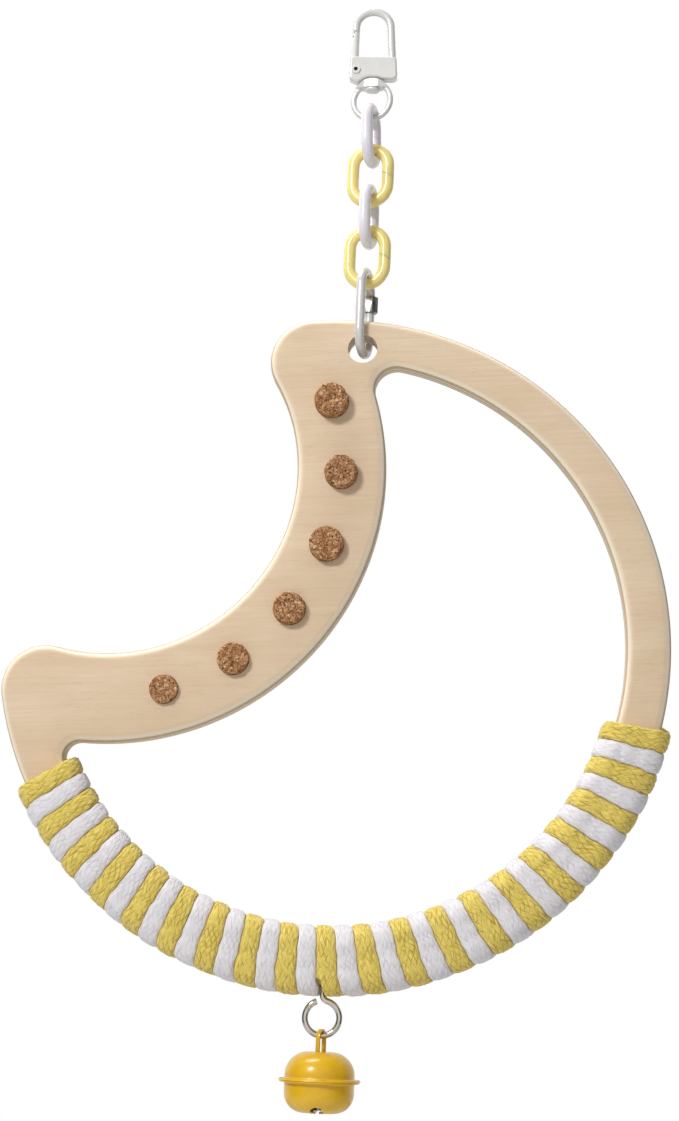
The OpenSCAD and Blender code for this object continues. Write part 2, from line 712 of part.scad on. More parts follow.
// The loop is a folded strip; its ends pass through the shell and are bent outwards
module bell_loop() {
  r = loop_inner_w / 2;
  outer = r + loop_strip_t;
  arc_z = bell_z + loop_h - outer;
  tab_top = bell_z - bell_wall - shell_gap;
  color(bell_yellow) translate([bell_x, 0, 0]) rotate([0, 0, bell_yaw + 90]) {
    translate([0, 0, arc_z]) upright() linear_extrude(loop_strip_w, center = true) difference() {
      circle(outer);
      circle(r);
      translate([-outer, -2 * outer]) square(2 * outer);
    }
    for (side = [0, 1]) mirror([side, 0, 0]) {
      translate([r, -loop_strip_w / 2, tab_top - loop_strip_t])
        cube([loop_strip_t, loop_strip_w, arc_z - tab_top + loop_strip_t]);
      translate([r, -loop_strip_w / 2, tab_top - loop_strip_t])
        cube([loop_strip_t + tab_l, loop_strip_w, loop_strip_t]);
    }
  }
}

// Half of a round-cornered shell's section, standing on the seam
module shell_section(r, h, c) {
  intersection() {
    square([r, h]);
    union() {
      square([r - c, h]);
      square([r, h - c]);
      translate([r - c, h - c]) circle(c);
    }
  }
}

module bell_shell(h, c) {
  rotate_extrude() {
    difference() {
      shell_section(bell_d / 2, h, c);
      shell_section(bell_d / 2 - bell_wall, h - bell_wall, c - bell_wall);
    }
    translate([bell_d / 2 - bell_wall, 0]) square([(bell_rim_d - bell_d) / 2 + bell_wall, bell_wall]);
  }
}

module bell_top() {
  r = loop_inner_w / 2;
  color(bell_yellow) translate([bell_x, 0, seam_z]) rotate([0, 0, bell_yaw + 90]) difference() {
    bell_shell(bell_top_h, bell_top_corner);
    for (side = [0, 1]) mirror([side, 0, 0])
      translate([r - shell_gap, -loop_strip_w / 2 - shell_gap, bell_top_h - bell_wall - cut_over])
        cube([loop_strip_t + 2 * shell_gap, loop_strip_w + 2 * shell_gap, bell_wall + 2 * cut_over]);
  }
}

module bell_bottom() {
  color(bell_yellow) translate([bell_x, 0, seam_z]) mirror([0, 0, 1]) difference() {
    bell_shell(bell_low_h, bell_low_corner);
    translate([-slot_w / 2, -slot_hole_r, bell_wall])
      cube([slot_w, 2 * slot_hole_r, bell_low_h]);
    for (side = [-1, 1])
      translate([0, side * slot_hole_r, bell_wall]) cylinder(h = bell_low_h, d = slot_hole_d);
  }
}

module bell_ball() {
  color(steel_grey) translate([bell_x, 0, bell_foot_z + bell_wall + ball_gap + ball_d / 2])
    sphere(d = ball_d);
}

hook_body();
hook_gate();
gate_pin();
gate_spring();
swivel_stud();
swivel_ring();
chain_link(1, ring_wire_d);  // chain_link_1
chain_link(2, link_d);  // chain_link_2
chain_link(3, link_d);  // chain_link_3
chain_link(4, link_d);  // chain_link_4
quick_link();
quick_link_sleeve();
frame_board();
cork_plug(1);  // cork_plug_1
cork_plug(2);  // cork_plug_2
cork_plug(3);  // cork_plug_3
cork_plug(4);  // cork_plug_4
cork_plug(5);  // cork_plug_5
cork_plug(6);  // cork_plug_6
yellow_cord();
white_cord();
screw_eye();
bell_loop();
bell_top();
bell_bottom();
bell_ball();
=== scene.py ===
"""The looks of a hanging ring swing: its finishes, and its rounded and wound forms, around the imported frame.

Everything is in metres in the frame's own axes: Z up, front towards -Y, origin inside the hook's bow.
"""

from math import acos, atan2, cos, degrees, pi, radians, sin, sqrt

import bpy
import numpy as np
from mathutils import Matrix, Quaternion, Vector

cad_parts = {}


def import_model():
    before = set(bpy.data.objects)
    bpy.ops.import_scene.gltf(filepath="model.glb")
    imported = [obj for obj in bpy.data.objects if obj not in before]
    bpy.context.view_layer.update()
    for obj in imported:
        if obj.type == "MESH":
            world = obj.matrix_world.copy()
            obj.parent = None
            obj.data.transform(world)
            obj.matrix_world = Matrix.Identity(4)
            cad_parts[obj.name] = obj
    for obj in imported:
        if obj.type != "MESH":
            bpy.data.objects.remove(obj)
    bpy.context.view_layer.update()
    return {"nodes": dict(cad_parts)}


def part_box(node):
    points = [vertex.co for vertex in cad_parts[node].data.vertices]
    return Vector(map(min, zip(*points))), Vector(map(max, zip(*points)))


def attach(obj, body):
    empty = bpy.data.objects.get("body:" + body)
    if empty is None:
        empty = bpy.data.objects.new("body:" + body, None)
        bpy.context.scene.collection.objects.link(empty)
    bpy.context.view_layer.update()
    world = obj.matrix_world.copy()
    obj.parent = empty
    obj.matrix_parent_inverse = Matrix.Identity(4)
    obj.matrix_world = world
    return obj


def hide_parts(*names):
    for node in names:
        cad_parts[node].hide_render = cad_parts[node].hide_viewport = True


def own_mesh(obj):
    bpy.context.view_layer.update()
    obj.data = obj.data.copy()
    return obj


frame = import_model()
MM = 0.001

# Camera: the photograph's height and the focal length in pixels, and where the camera stands
PHOTO_H = 1121
FOCAL_PX = 2200
SENSOR = 36
CAMERA_AZIMUTH = 3.6
CAMERA_ELEVATION = -11.3
CAMERA_DISTANCE = 0.774
CAMERA_ROLL = 2.4
AIM_RIGHT = 0.0014
AIM_UP = 0.0286

# Axis of the hook's gate
PIVOT = Vector((-5.8 * MM, 0, -22.5 * MM))

# Board, as in the frame: the ring round its centre, the bite at its upper left, and the arm
BOARD_LOW, BOARD_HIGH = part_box("frame_board")
RING_R = 118.75 * MM
RIM_W = 15.75 * MM
BOARD_T = BOARD_HIGH.y - BOARD_LOW.y
EDGE_R = 3 * MM
CENTRE = Vector((BOARD_HIGH.x - RING_R, 0, BOARD_LOW.z + RING_R))
BOARD_LEAN = 3.6
BITE_R = 66.9 * MM
BITE_DISTANCE = 102 * MM
BITE_DIR = 140
ARM_W = 31.8 * MM
LOBE_R = 15.5 * MM
UPPER_CORNER_R = 8 * MM
LOWER_CORNER_R = 5.5 * MM
HOLE_D = 10.7 * MM
HOLE_INSET = 11.1 * MM
HOLE_X = 13.3 * MM

# Chain: how it is turned about its own length, and each link's size
CHAIN_YAW = -11
LINK_L, LINK_W, LINK_D = 24.8 * MM, 17.6 * MM, 4.4 * MM
FIRST_LINK_ROLL = 2


def srgb(red, green, blue):
    """A colour given as it shows on screen, from 0 to 255, in Blender's linear numbers."""
    shares = [c / 255 for c in (red, green, blue)]
    return tuple(c / 12.92 if c < 0.04045 else ((c + 0.055) / 1.055) ** 2.4 for c in shares) + (1,)


# Modelling by hand: selecting, drawing with one vertex, cutting, and finishing with modifiers


def deselect():
    if bpy.context.object and bpy.context.object.mode != "OBJECT":
        bpy.ops.object.mode_set(mode="OBJECT")
    bpy.ops.object.select_all(action="DESELECT")


def take(*objects):
    """Selects these objects alone; the first is the active one."""
    deselect()
    for obj in objects:
        obj.select_set(True)
    bpy.context.view_layer.objects.active = objects[0]


def edit(obj, kind="VERT"):
    take(obj)
    bpy.ops.object.mode_set(mode="EDIT")
    bpy.ops.mesh.select_mode(type=kind)


def edit_all(obj, kind="VERT"):
    edit(obj, kind)
    bpy.ops.mesh.select_all(action="SELECT")


def stop_edit():
    bpy.ops.object.mode_set(mode="OBJECT")


def extrude(*step):
    bpy.ops.mesh.extrude_region_move(TRANSFORM_OT_translate={"value": step})


def outwards():
    """Turns all faces of the mesh in edit mode outwards, and leaves it."""
    bpy.ops.mesh.select_all(action="SELECT")
    bpy.ops.mesh.normals_make_consistent(inside=False)
    stop_edit()


def pick(obj, test, kind="VERT"):
    """Selects the vertices, edges or faces that pass the test, and returns in edit mode."""
    edit(obj, kind)
    bpy.ops.mesh.select_all(action="DESELECT")
    stop_edit()
    parts = {"VERT": obj.data.vertices, "EDGE": obj.data.edges, "FACE": obj.data.polygons}[kind]
    for part in parts:
        part.select = bool(test(part))
    bpy.ops.object.mode_set(mode="EDIT")


def modify(obj, kind, **settings):
    take(obj)
    bpy.ops.object.modifier_add(type=kind)
    made = obj.modifiers[-1]
    for key, value in settings.items():
        setattr(made, key, value)
    bpy.ops.object.modifier_apply(modifier=made.name)


def cut(obj, tool, operation="DIFFERENCE"):
    modify(obj, "BOOLEAN", object=tool, operation=operation, solver="EXACT")
    bpy.data.objects.remove(tool)


def settle(obj):
    """Leaves the object at the origin, with its place in its mesh."""
    take(obj)
    bpy.ops.object.transform_apply(location=True, rotation=True, scale=True)


def put(name, data):
    """Puts new data into the scene as an object."""
    obj = bpy.data.objects.new(name, data)
    bpy.context.scene.collection.objects.link(obj)
    return obj


def place(obj, turn_z=0, at=(0, 0, 0), roll=0, tip=0):
    """Turns the piece about X by tip, about Z, and about Y by roll, and moves it to its place."""
    turn = Matrix.Rotation(radians(turn_z), 4, "Z") @ Matrix.Rotation(radians(tip), 4, "X")
    turn = Matrix.Rotation(radians(roll), 4, "Y") @ turn
    obj.matrix_world = Matrix.Translation(at) @ turn @ obj.matrix_world
    settle(obj)


def join(*objects):
    take(*objects)
    bpy.ops.object.join()
    return objects[0]


def weld(obj):
    """Merges the doubles of a mesh, and turns its faces outwards."""
    edit_all(obj)
    bpy.ops.mesh.remove_doubles(threshold=0.002 * MM)
    outwards()


def clean(obj):
    """Collapses the slivers that cuts and bevels leave."""
    edit_all(obj)
    bpy.ops.mesh.remove_doubles(threshold=0.001 * MM)
    bpy.ops.mesh.dissolve_degenerate(threshold=0.001 * MM)
    bpy.ops.mesh.delete_loose()
    stop_edit()


def rounded(obj, radius, segments=3, sharper_than=40):
    """Rounds the edges between faces that meet more sharply than the angle."""
    modify(obj, "BEVEL", width=radius, segments=segments, limit_method="ANGLE",
           angle_limit=radians(sharper_than), harden_normals=False)


class Pen:
    """Draws an outline in the X-Z plane: one vertex, extruded along lines and spun along arcs."""

    def __init__(self, name, x, z, y=0):
        deselect()
        bpy.ops.mesh.primitive_plane_add(size=MM, location=(x, y, z))
        self.obj = bpy.context.object
        self.obj.name = name
        self.x, self.y, self.z = x, y, z
        edit_all(self.obj)
        bpy.ops.mesh.merge(type="CENTER")

    def line(self, x, z):
        extrude(x - self.x, 0, z - self.z)
        self.x, self.z = x, z
        return self

    def path(self, *points):
        for x, z in points:
            self.line(x, z)
        return self

    def arc(self, cx, cz, turn, steps):
        """Turns counterclockwise, as seen from the front, about (cx, cz)."""
        bpy.ops.mesh.spin(steps=steps, angle=radians(turn), center=(cx, self.y, cz), axis=(0, 1, 0))
        dx, dz, c, s = self.x - cx, self.z - cz, cos(radians(turn)), sin(radians(turn))
        self.x, self.z = cx + dx * c - dz * s, cz + dx * s + dz * c
        return self

    def close(self):
        bpy.ops.mesh.select_all(action="SELECT")
        bpy.ops.mesh.remove_doubles(threshold=0.01 * MM)
        return self.done()

    def done(self):
        stop_edit()
        settle(self.obj)
        return self.obj


def slab(outline, thickness):
    """Fills a closed outline and gives it a thickness along Y, half to each side."""
    edit_all(outline)
    bpy.ops.mesh.edge_face_add()
    bpy.ops.transform.translate(value=(0, -thickness / 2, 0))
    extrude(0, thickness, 0)
    outwards()
    return outline


def lathe(profile, steps=64):
    """Spins a drawn profile all the way round Z."""
    edit_all(profile)
    bpy.ops.mesh.spin(steps=steps, angle=2 * pi, center=(0, 0, 0), axis=(0, 0, 1))
    stop_edit()
    weld(profile)
    return profile


def wire(name, d, x, z, sides=28):
    """The round section of a wire that starts at (x, z) and runs along Z, in edit mode."""
    deselect()
    bpy.ops.mesh.primitive_circle_add(vertices=sides, radius=d / 2, location=(x, 0, z))
    obj = bpy.context.object
    obj.name = name
    edit_all(obj)
    return obj


def wire_straight(dx, dz):
    extrude(dx, 0, dz)


def wire_bend(cx, cz, turn, steps):
    bpy.ops.mesh.spin(steps=steps, angle=radians(turn), center=(cx, 0, cz), axis=(0, 1, 0))


def wire_end(obj):
    """Closes a wire that ends, or welds one that comes back to its start."""
    bpy.ops.mesh.select_all(action="SELECT")
    bpy.ops.mesh.remove_doubles(threshold=0.01 * MM)
    bpy.ops.mesh.fill_holes(sides=0)
    outwards()
    settle(obj)
    return obj


def rod(name, d, length, at, axis="Z", sides=48):
    """A round rod or cutter, from a cylinder; at is its middle."""
    deselect()
    turn = {"X": (0, pi / 2, 0), "Y": (pi / 2, 0, 0), "Z": (0, 0, 0)}[axis]
    bpy.ops.mesh.primitive_cylinder_add(vertices=sides, radius=d / 2, depth=length,
                                        location=at, rotation=turn)
    obj = bpy.context.object
    obj.name = name
    settle(obj)
    return obj


def block(name, low, high):
    """A box between two corners, as a cutter."""
    deselect()
    low, high = Vector(low), Vector(high)
    bpy.ops.mesh.primitive_cube_add(size=1, location=(low + high) / 2)
    obj = bpy.context.object
    obj.name = name
    obj.scale = high - low
    settle(obj)
    return obj


def remesh(obj, voxel):
    modify(obj, "REMESH", mode="VOXEL", voxel_size=voxel, adaptivity=0)


def cast(obj, voxel):
    """Fuses the shells into one and softens their joints, as in a casting."""
    remesh(obj, voxel)
    modify(obj, "SMOOTH", factor=0.5, iterations=8)


def present(obj, body, material, nodes=(), smooth=35):
    """Finishes a piece: smooth where its faces meet gently, with its material, body and nodes."""
    settle(obj)
    take(obj)
    bpy.ops.object.shade_smooth_by_angle(angle=radians(smooth))
    obj.data.materials.clear()
    obj.data.materials.append(material)
    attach(obj, body)
    if nodes:
        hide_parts(*nodes)
    return obj


def dress(node, material):
    """Gives a node of the frame its finish."""
    mesh = frame["nodes"][node].data
    mesh.materials.clear()
    mesh.materials.append(material)


# Materials: helpers that add nodes and link them as they go


class Graph:
    """A node tree to add to; a node's input takes a value or another node's output."""

    def __init__(self, tree):
        self.tree = tree

    def node(self, kind, inputs=(), out=0, **settings):
        made = self.tree.nodes.new("ShaderNode" + kind)
        for key, value in settings.items():
            setattr(made, key, value)
        for socket, value in dict(inputs).items():
            self.set(made.inputs[socket], value)
        return made.outputs[out]

    def set(self, socket, value):
        if isinstance(value, bpy.types.NodeSocket):
            self.tree.links.new(value, socket)
        else:
            socket.default_value = value

    def maths(self, operation, a, b=0.0):
        return self.node("Math", {0: a, 1: b}, operation=operation)

    def vectors(self, operation, a, b=(0, 0, 0), out=0):
        return self.node("VectorMath", {0: a, 1: b}, out, operation=operation)

    def axis(self, vector, number):
        """One coordinate of a vector."""
        return self.node("SeparateXYZ", {0: vector}, number)

    def span(self, value, low, high, to_low=0.0, to_high=1.0):
        return self.node("MapRange", {"Value": value, "From Min": low, "From Max": high,
                                      "To Min": to_low, "To Max": to_high})

    def blend(self, factor, a, b):
        """A number from a to b."""
        return self.node("Mix", {0: factor, 2: a, 3: b})

    def mix(self, factor, a, b):
        """A colour from a to b."""
        return self.node("Mix", {0: factor, 6: a, 7: b}, 2, data_type="RGBA")


class Finish(Graph):
    """A node material round one Principled shader."""

    def __init__(self, name):
        self.material = bpy.data.materials.new(name)
        self.material.use_nodes = True
        super().__init__(self.material.node_tree)
        self.shader = self.tree.nodes["Principled BSDF"]

    def give(self, **values):
        """Sets the shader's sockets, named with underscores for spaces."""
        for key, value in values.items():
            self.set(self.shader.inputs[key.replace("_", " ")], value)

    def place(self, scale=(1, 1, 1), coordinate="Object"):
        return self.node("Mapping", {"Vector": self.node("TexCoord", out=coordinate), "Scale": scale})

    def turned(self, angle):
        """Object coordinates, turned about Y so that they run with the leaning board."""
        where = self.node("TexCoord", out="Object")
        return self.node("VectorRotate", {"Vector": where, "Angle": radians(angle)}, rotation_type="Y_AXIS")

    def stretch(self, vector, scale):
        return self.vectors("MULTIPLY", vector, scale)

    def noise(self, place, size, detail=3, rough=0.5, distortion=0, out=0):
        """Noise with lumps of about that size, in metres."""
        return self.node("TexNoise", {"Vector": place, "Scale": 1 / size, "Detail": detail,
                                      "Roughness": rough, "Distortion": distortion}, out)

    def ramp(self, factor, *stops):
        """A colour ramp; each stop is its place and colour."""
        made = self.tree.nodes.new("ShaderNodeValToRGB")
        self.set(made.inputs[0], factor)
        elements = made.color_ramp.elements
        while len(elements) < len(stops):
            elements.new(0.5)
        for element, (where, colour) in zip(elements, stops):
            element.position = where
            element.color = colour
        return made.outputs[0]

    def bump(self, height, depth, strength, under=None):
        inputs = {"Height": height, "Distance": depth, "Strength": strength}
        if under is not None:
            inputs["Normal"] = under
        return self.node("Bump", inputs)


WHITE = (1, 1, 1, 1)


def lacquer(name, colour, shade, rough, coat=0.0, peel=0.01 * MM, metallic=0.0):
    """Paint or satin plating: a faint change of colour and a fine orange peel."""
    f = Finish(name)
    where = f.place()
    cloud = f.noise(where, 6 * MM, 4)
    fine = f.noise(where, 0.35 * MM, 2)
    f.give(Base_Color=f.mix(f.span(cloud, 0.35, 0.75), colour, shade),
           Roughness=f.span(cloud, 0.3, 0.8, rough * 0.85, rough * 1.2),
           Normal=f.bump(fine, peel, 0.5), Metallic=metallic, Coat_Weight=coat, Coat_Roughness=0.08)
    return f.material


def rivet():
    """Bright plating, with a painted shadow: near black inside the rivet's bore, where shade falls."""
    f = Finish("rivet_white")
    cloud = f.noise(f.place(), 3 * MM, 3)
    off = f.stretch(f.vectors("SUBTRACT", f.place(), PIVOT), (1, 0, 1))
    # Painted shadow: the plating's colour turns near black within the rivet's bore.
    bore = f.span(f.vectors("LENGTH", off, out=1), 0.72 * MM, 0.8 * MM, 1, 0)
    plate = f.mix(f.span(cloud, 0.35, 0.75), srgb(234, 233, 230), srgb(220, 219, 215))
    f.give(Base_Color=f.mix(bore, plate, srgb(24, 23, 22)), Roughness=f.span(cloud, 0.3, 0.8, 0.18, 0.28),
           Coat_Weight=0.3, Normal=f.bump(cloud, 0.01 * MM, 0.5))
    return f.material


def plastic(name, colour, shade, glow, rough=0.16):
    """Glossy moulded plastic that lets some light in, with faint flow lines."""
    f = Finish(name)
    where = f.place(scale=(1, 1, 0.35))
    flow = f.noise(where, 3 * MM, 3, distortion=1.5)
    fine = f.noise(where, 0.5 * MM, 2)
    f.give(Base_Color=f.mix(f.span(flow, 0.3, 0.75), colour, shade),
           Roughness=f.span(flow, 0.3, 0.8, rough * 0.8, rough * 1.3),
           Normal=f.bump(fine, 0.006 * MM, 0.5), Subsurface_Weight=glow,
           Subsurface_Radius=(1.0, 0.7, 0.35), Subsurface_Scale=2.2 * MM, IOR=1.5)
    return f.material


def metal(name, colour, shade, rough, scratch=0.004 * MM):
    """Bare or plated steel, with fine drawn scratches and a little tarnish."""
    f = Finish(name)
    stain = f.noise(f.place(), 2.5 * MM, 4, 0.6)
    drawn = f.noise(f.place(scale=(1, 1, 0.08)), 0.12 * MM, 2)
    f.give(Base_Color=f.mix(f.span(stain, 0.45, 0.8), colour, shade), Metallic=1.0,
           Roughness=f.span(stain, 0.3, 0.8, rough * 0.7, rough * 1.6),
           Normal=f.bump(drawn, scratch, 0.4))
    return f.material


def birch_plywood():
    """Sanded birch plywood: face grain along the board, and plies that show wherever an edge cuts them."""
    ply = 1.25 * MM
    f = Finish("birch_plywood")
    where = f.turned(BOARD_LEAN)
    y = f.axis(where, 1)
    along = f.noise(f.stretch(where, (0.035, 1, 1)), 0.9 * MM, 4, 0.65)
    broad = f.noise(f.stretch(where, (0.3, 1, 1)), 13 * MM, 3, 0.5, 0.8)
    flecks = f.noise(f.stretch(where, (0.1, 1, 1)), 0.4 * MM, 2)
    face = f.mix(f.span(broad, 0.3, 0.72), srgb(233, 210, 180), srgb(224, 197, 165))
    face = f.mix(f.span(along, 0.38, 0.7, 0, 0.4), face, srgb(212, 184, 150))
    face = f.mix(f.span(flecks, 0.6, 0.74, 0, 0.3), face, srgb(196, 163, 127))
    count = f.maths("DIVIDE", f.maths("ADD", y, BOARD_T / 2), ply)
    share = f.maths("FRACT", count)
    odd = f.maths("FRACT", f.maths("MULTIPLY", f.maths("FLOOR", count), 0.5))
    across = f.noise(f.place(), 0.3 * MM, 2, 0.7)
    long_ply = f.mix(f.span(along, 0.3, 0.7), srgb(248, 238, 220), srgb(238, 222, 198))
    end_ply = f.mix(f.span(across, 0.35, 0.7), srgb(216, 194, 160), srgb(188, 162, 126))
    plies = f.mix(f.span(odd, 0.2, 0.3), long_ply, end_ply)
    glue_share = 0.09
    off = f.maths("ABSOLUTE", f.maths("SUBTRACT", share, 0.5))
    glue = f.span(off, 0.5 - glue_share, 0.5 - glue_share / 3)
    plies = f.mix(f.maths("MULTIPLY", glue, 0.8), plies, srgb(140, 116, 82))
    outer = f.span(f.maths("ABSOLUTE", y), BOARD_T / 2 - ply, BOARD_T / 2 - ply * 0.97)
    grain = f.bump(along, 0.03 * MM, 0.5)
    # The rounded edges turn pale where they face away from the board's faces: partly the sanded wood's paler
    # colour, partly a painted highlight on the lit rounding.
    facing = f.maths("ABSOLUTE", f.axis(f.node("NewGeometry", out="Normal"), 1))
    face = f.mix(f.span(facing, 0.985, 0.8, 0, 0.85), face, srgb(250, 237, 214))
    f.give(Base_Color=f.mix(outer, plies, face), Roughness=f.span(along, 0.3, 0.7, 0.5, 0.66),
           Normal=f.bump(flecks, 0.02 * MM, 0.4, grain), Specular_IOR_Level=0.35)
    return f.material


def cork():
    """Pressed cork: granules of several browns, dark gaps and coarse pits."""
    grain = 1.15 * MM
    f = Finish("cork")
    where = f.place()
    drift = f.vectors("SUBTRACT", f.noise(where, 1.3 * MM, 2, out=1), (0.5, 0.5, 0.5))
    warp = 1.6 * MM
    warped = f.vectors("ADD", where, f.stretch(drift, (warp, warp, warp)))
    grains = f.node("TexVoronoi", {"Vector": warped, "Scale": 1 / grain}, out=1)
    gap = f.node("TexVoronoi", {"Vector": warped, "Scale": 1 / grain}, feature="DISTANCE_TO_EDGE")
    colour = f.ramp(f.axis(grains, 0), (0.0, srgb(164, 110, 68)), (0.35, srgb(190, 136, 90)),
                    (0.7, srgb(208, 156, 110)), (1.0, srgb(238, 194, 146)))
    pits = f.noise(where, 0.8 * MM, 3, 0.7)
    colour = f.mix(f.span(pits, 0.55, 0.62, 0, 0.95), colour, srgb(88, 48, 26))
    pale = f.noise(where, 0.5 * MM, 2, 0.6)
    colour = f.mix(f.span(pale, 0.6, 0.7, 0, 0.8), colour, srgb(234, 190, 150))
    seam = f.span(gap, 0.0, 0.1, 1, 0)
    colour = f.mix(f.maths("MULTIPLY", seam, 0.6), colour, srgb(100, 58, 36))
    low = f.maths("SUBTRACT", f.maths("SUBTRACT", 1.0, seam), f.span(pits, 0.53, 0.68))
    f.give(Base_Color=colour, Roughness=0.85, Normal=f.bump(low, 0.22 * MM, 0.8), Specular_IOR_Level=0.25)
    return f.material


CORD_W = 6.9 * MM
STRAND_W = 1.7 * MM
STRAND_TURN = 23


def braided(name, light, mid, painted_shade, groove_shade_share):
    """Braided cord: its own map runs along the cord and round it in metres, and its strands cross on it, with
    painted shade in the grooves between them.
    """
    f = Finish(name)
    where = f.place(coordinate="UV")
    along = f.maths("MULTIPLY", f.axis(where, 0), sin(radians(STRAND_TURN)) / STRAND_W)
    over = f.maths("MULTIPLY", f.axis(where, 1), cos(radians(STRAND_TURN)) / STRAND_W)
    left, right = f.maths("SUBTRACT", along, over), f.maths("ADD", along, over)
    cell = f.maths("ADD", f.maths("FLOOR", left), f.maths("FLOOR", right))
    upper = f.span(f.maths("FRACT", f.maths("MULTIPLY", cell, 0.5)), 0.24, 0.26)
    strand, other = f.blend(upper, left, right), f.blend(upper, right, left)
    side = f.maths("ABSOLUTE", f.maths("SUBTRACT", f.maths("FRACT", strand), 0.5))
    end = f.maths("ABSOLUTE", f.maths("SUBTRACT", f.maths("FRACT", other), 0.5))
    groove = f.maths("MAXIMUM", f.span(side, 0.3, 0.5), f.span(end, 0.4, 0.5, 0, 0.7))
    patch = f.noise(f.place(), 2.6 * MM, 3)
    loose = f.span(patch, 0.36, 0.62)
    yarn = f.node("CombineXYZ", {0: f.maths("MULTIPLY", strand, 5.5), 1: f.maths("MULTIPLY", other, 0.6),
                                 2: f.maths("MULTIPLY", upper, 9.0)})
    fibre = f.noise(yarn, 1.0, 4, 0.7)
    # The raised fibres take the light colour and the low ones the dark one: partly the yarn's own tone, partly
    # a painted highlight and painted shade.
    colour = f.mix(f.span(fibre, 0.34, 0.64), mid, light)
    colour = f.mix(f.span(fibre, 0.46, 0.32, 0, 0.6), colour, painted_shade)
    # Painted shade in the grooves between the crossing strands.
    colour = f.mix(f.maths("MULTIPLY", groove, f.maths("MULTIPLY", loose, groove_shade_share)), colour, painted_shade)
    height = f.maths("SUBTRACT", f.maths("MULTIPLY", fibre, 1.8), f.maths("MULTIPLY", groove, loose))
    f.give(Base_Color=colour, Roughness=0.85, Normal=f.bump(height, 0.15 * MM, 0.8),
           Sheen_Weight=0.3, Sheen_Roughness=0.5, Specular_IOR_Level=0.2)
    return f.material


hook_white = lacquer("hook_white", srgb(230, 229, 226), srgb(218, 217, 212), 0.26,
                     coat=0.5, peel=0.003 * MM, metallic=0.1)
rivet_white = rivet()
link_white = plastic("link_white", srgb(236, 234, 241), srgb(229, 226, 235), 0.45)
link_yellow = plastic("link_yellow", srgb(251, 232, 158), srgb(246, 224, 138), 0.6)
quick_white = lacquer("quick_link_white", srgb(222, 221, 220), srgb(206, 205, 204), 0.28,
                      coat=0.2, metallic=0.15)
steel = metal("steel", srgb(168, 168, 166), srgb(130, 130, 128), 0.34)
nickel = metal("nickel", srgb(206, 200, 192), srgb(176, 168, 158), 0.08)
bell_lacquer = lacquer("bell_yellow", srgb(238, 190, 28), srgb(226, 174, 20), 0.3, coat=0.3)
birch = birch_plywood()
cork_brown = cork()
# Each cord's colours: a light tone that partly paints highlights, its own tone, and a painted shade.
cord_yellow = braided("cord_yellow", srgb(251, 230, 130), srgb(224, 194, 76), srgb(160, 124, 26), 0.85)
cord_white = braided("cord_white", srgb(246, 243, 245), srgb(233, 228, 232), srgb(198, 192, 198), 0.6)


# Snap hook


HOOK_LOW, HOOK_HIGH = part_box("hook_body")
BOW_D = 3 * MM
BOW_R = 6.5 * MM
BOW_Z = -5 * MM
NOSE_Z = BOW_Z - 1.7 * MM
BOW_LEFT = -BOW_R - BOW_D / 2
LEG_LEAN = 4
LEG_SUNK = 3 * MM
BODY_TOP = -17.2 * MM
BODY_BOTTOM = -26 * MM
BODY_T = 4.8 * MM
BODY_ROUND = 0.7 * MM
BODY_TAPER = 0.6 * MM
BODY_CORNER = 1.2 * MM
TOE_L, TOE_DROP = 2.8 * MM, 1.3 * MM
# The body's underside from its toe to its corner: x, and the height over its bottom
UNDERSIDE = ((-4.2 * MM, -0.75 * MM), (-2.2 * MM, 0.3 * MM), (0, 0.75 * MM),
             (2.6 * MM, 0.6 * MM), (4.6 * MM, 0))
SWIVEL_X = 0.5 * MM
STUD_BORE, STUD_DEPTH = 2.72 * MM, 4 * MM
GATE_D = 2.9 * MM
SLOT_T = GATE_D + 0.2 * MM
SLOT_X = -2.03 * MM
SLOT_DROP = 2.2 * MM
# The nose's lip, and the notch in the gate that takes it
LIP_T, LIP_DROP, LIP_LAP = 0.85 * MM, 2.1 * MM, 0.2 * MM
TIP_GAP, NOTCH_T, NOTCH_DROP = 0.28 * MM, 1.1 * MM, 2.36 * MM
# Length of a cutter that goes right through
THROUGH = 8 * MM


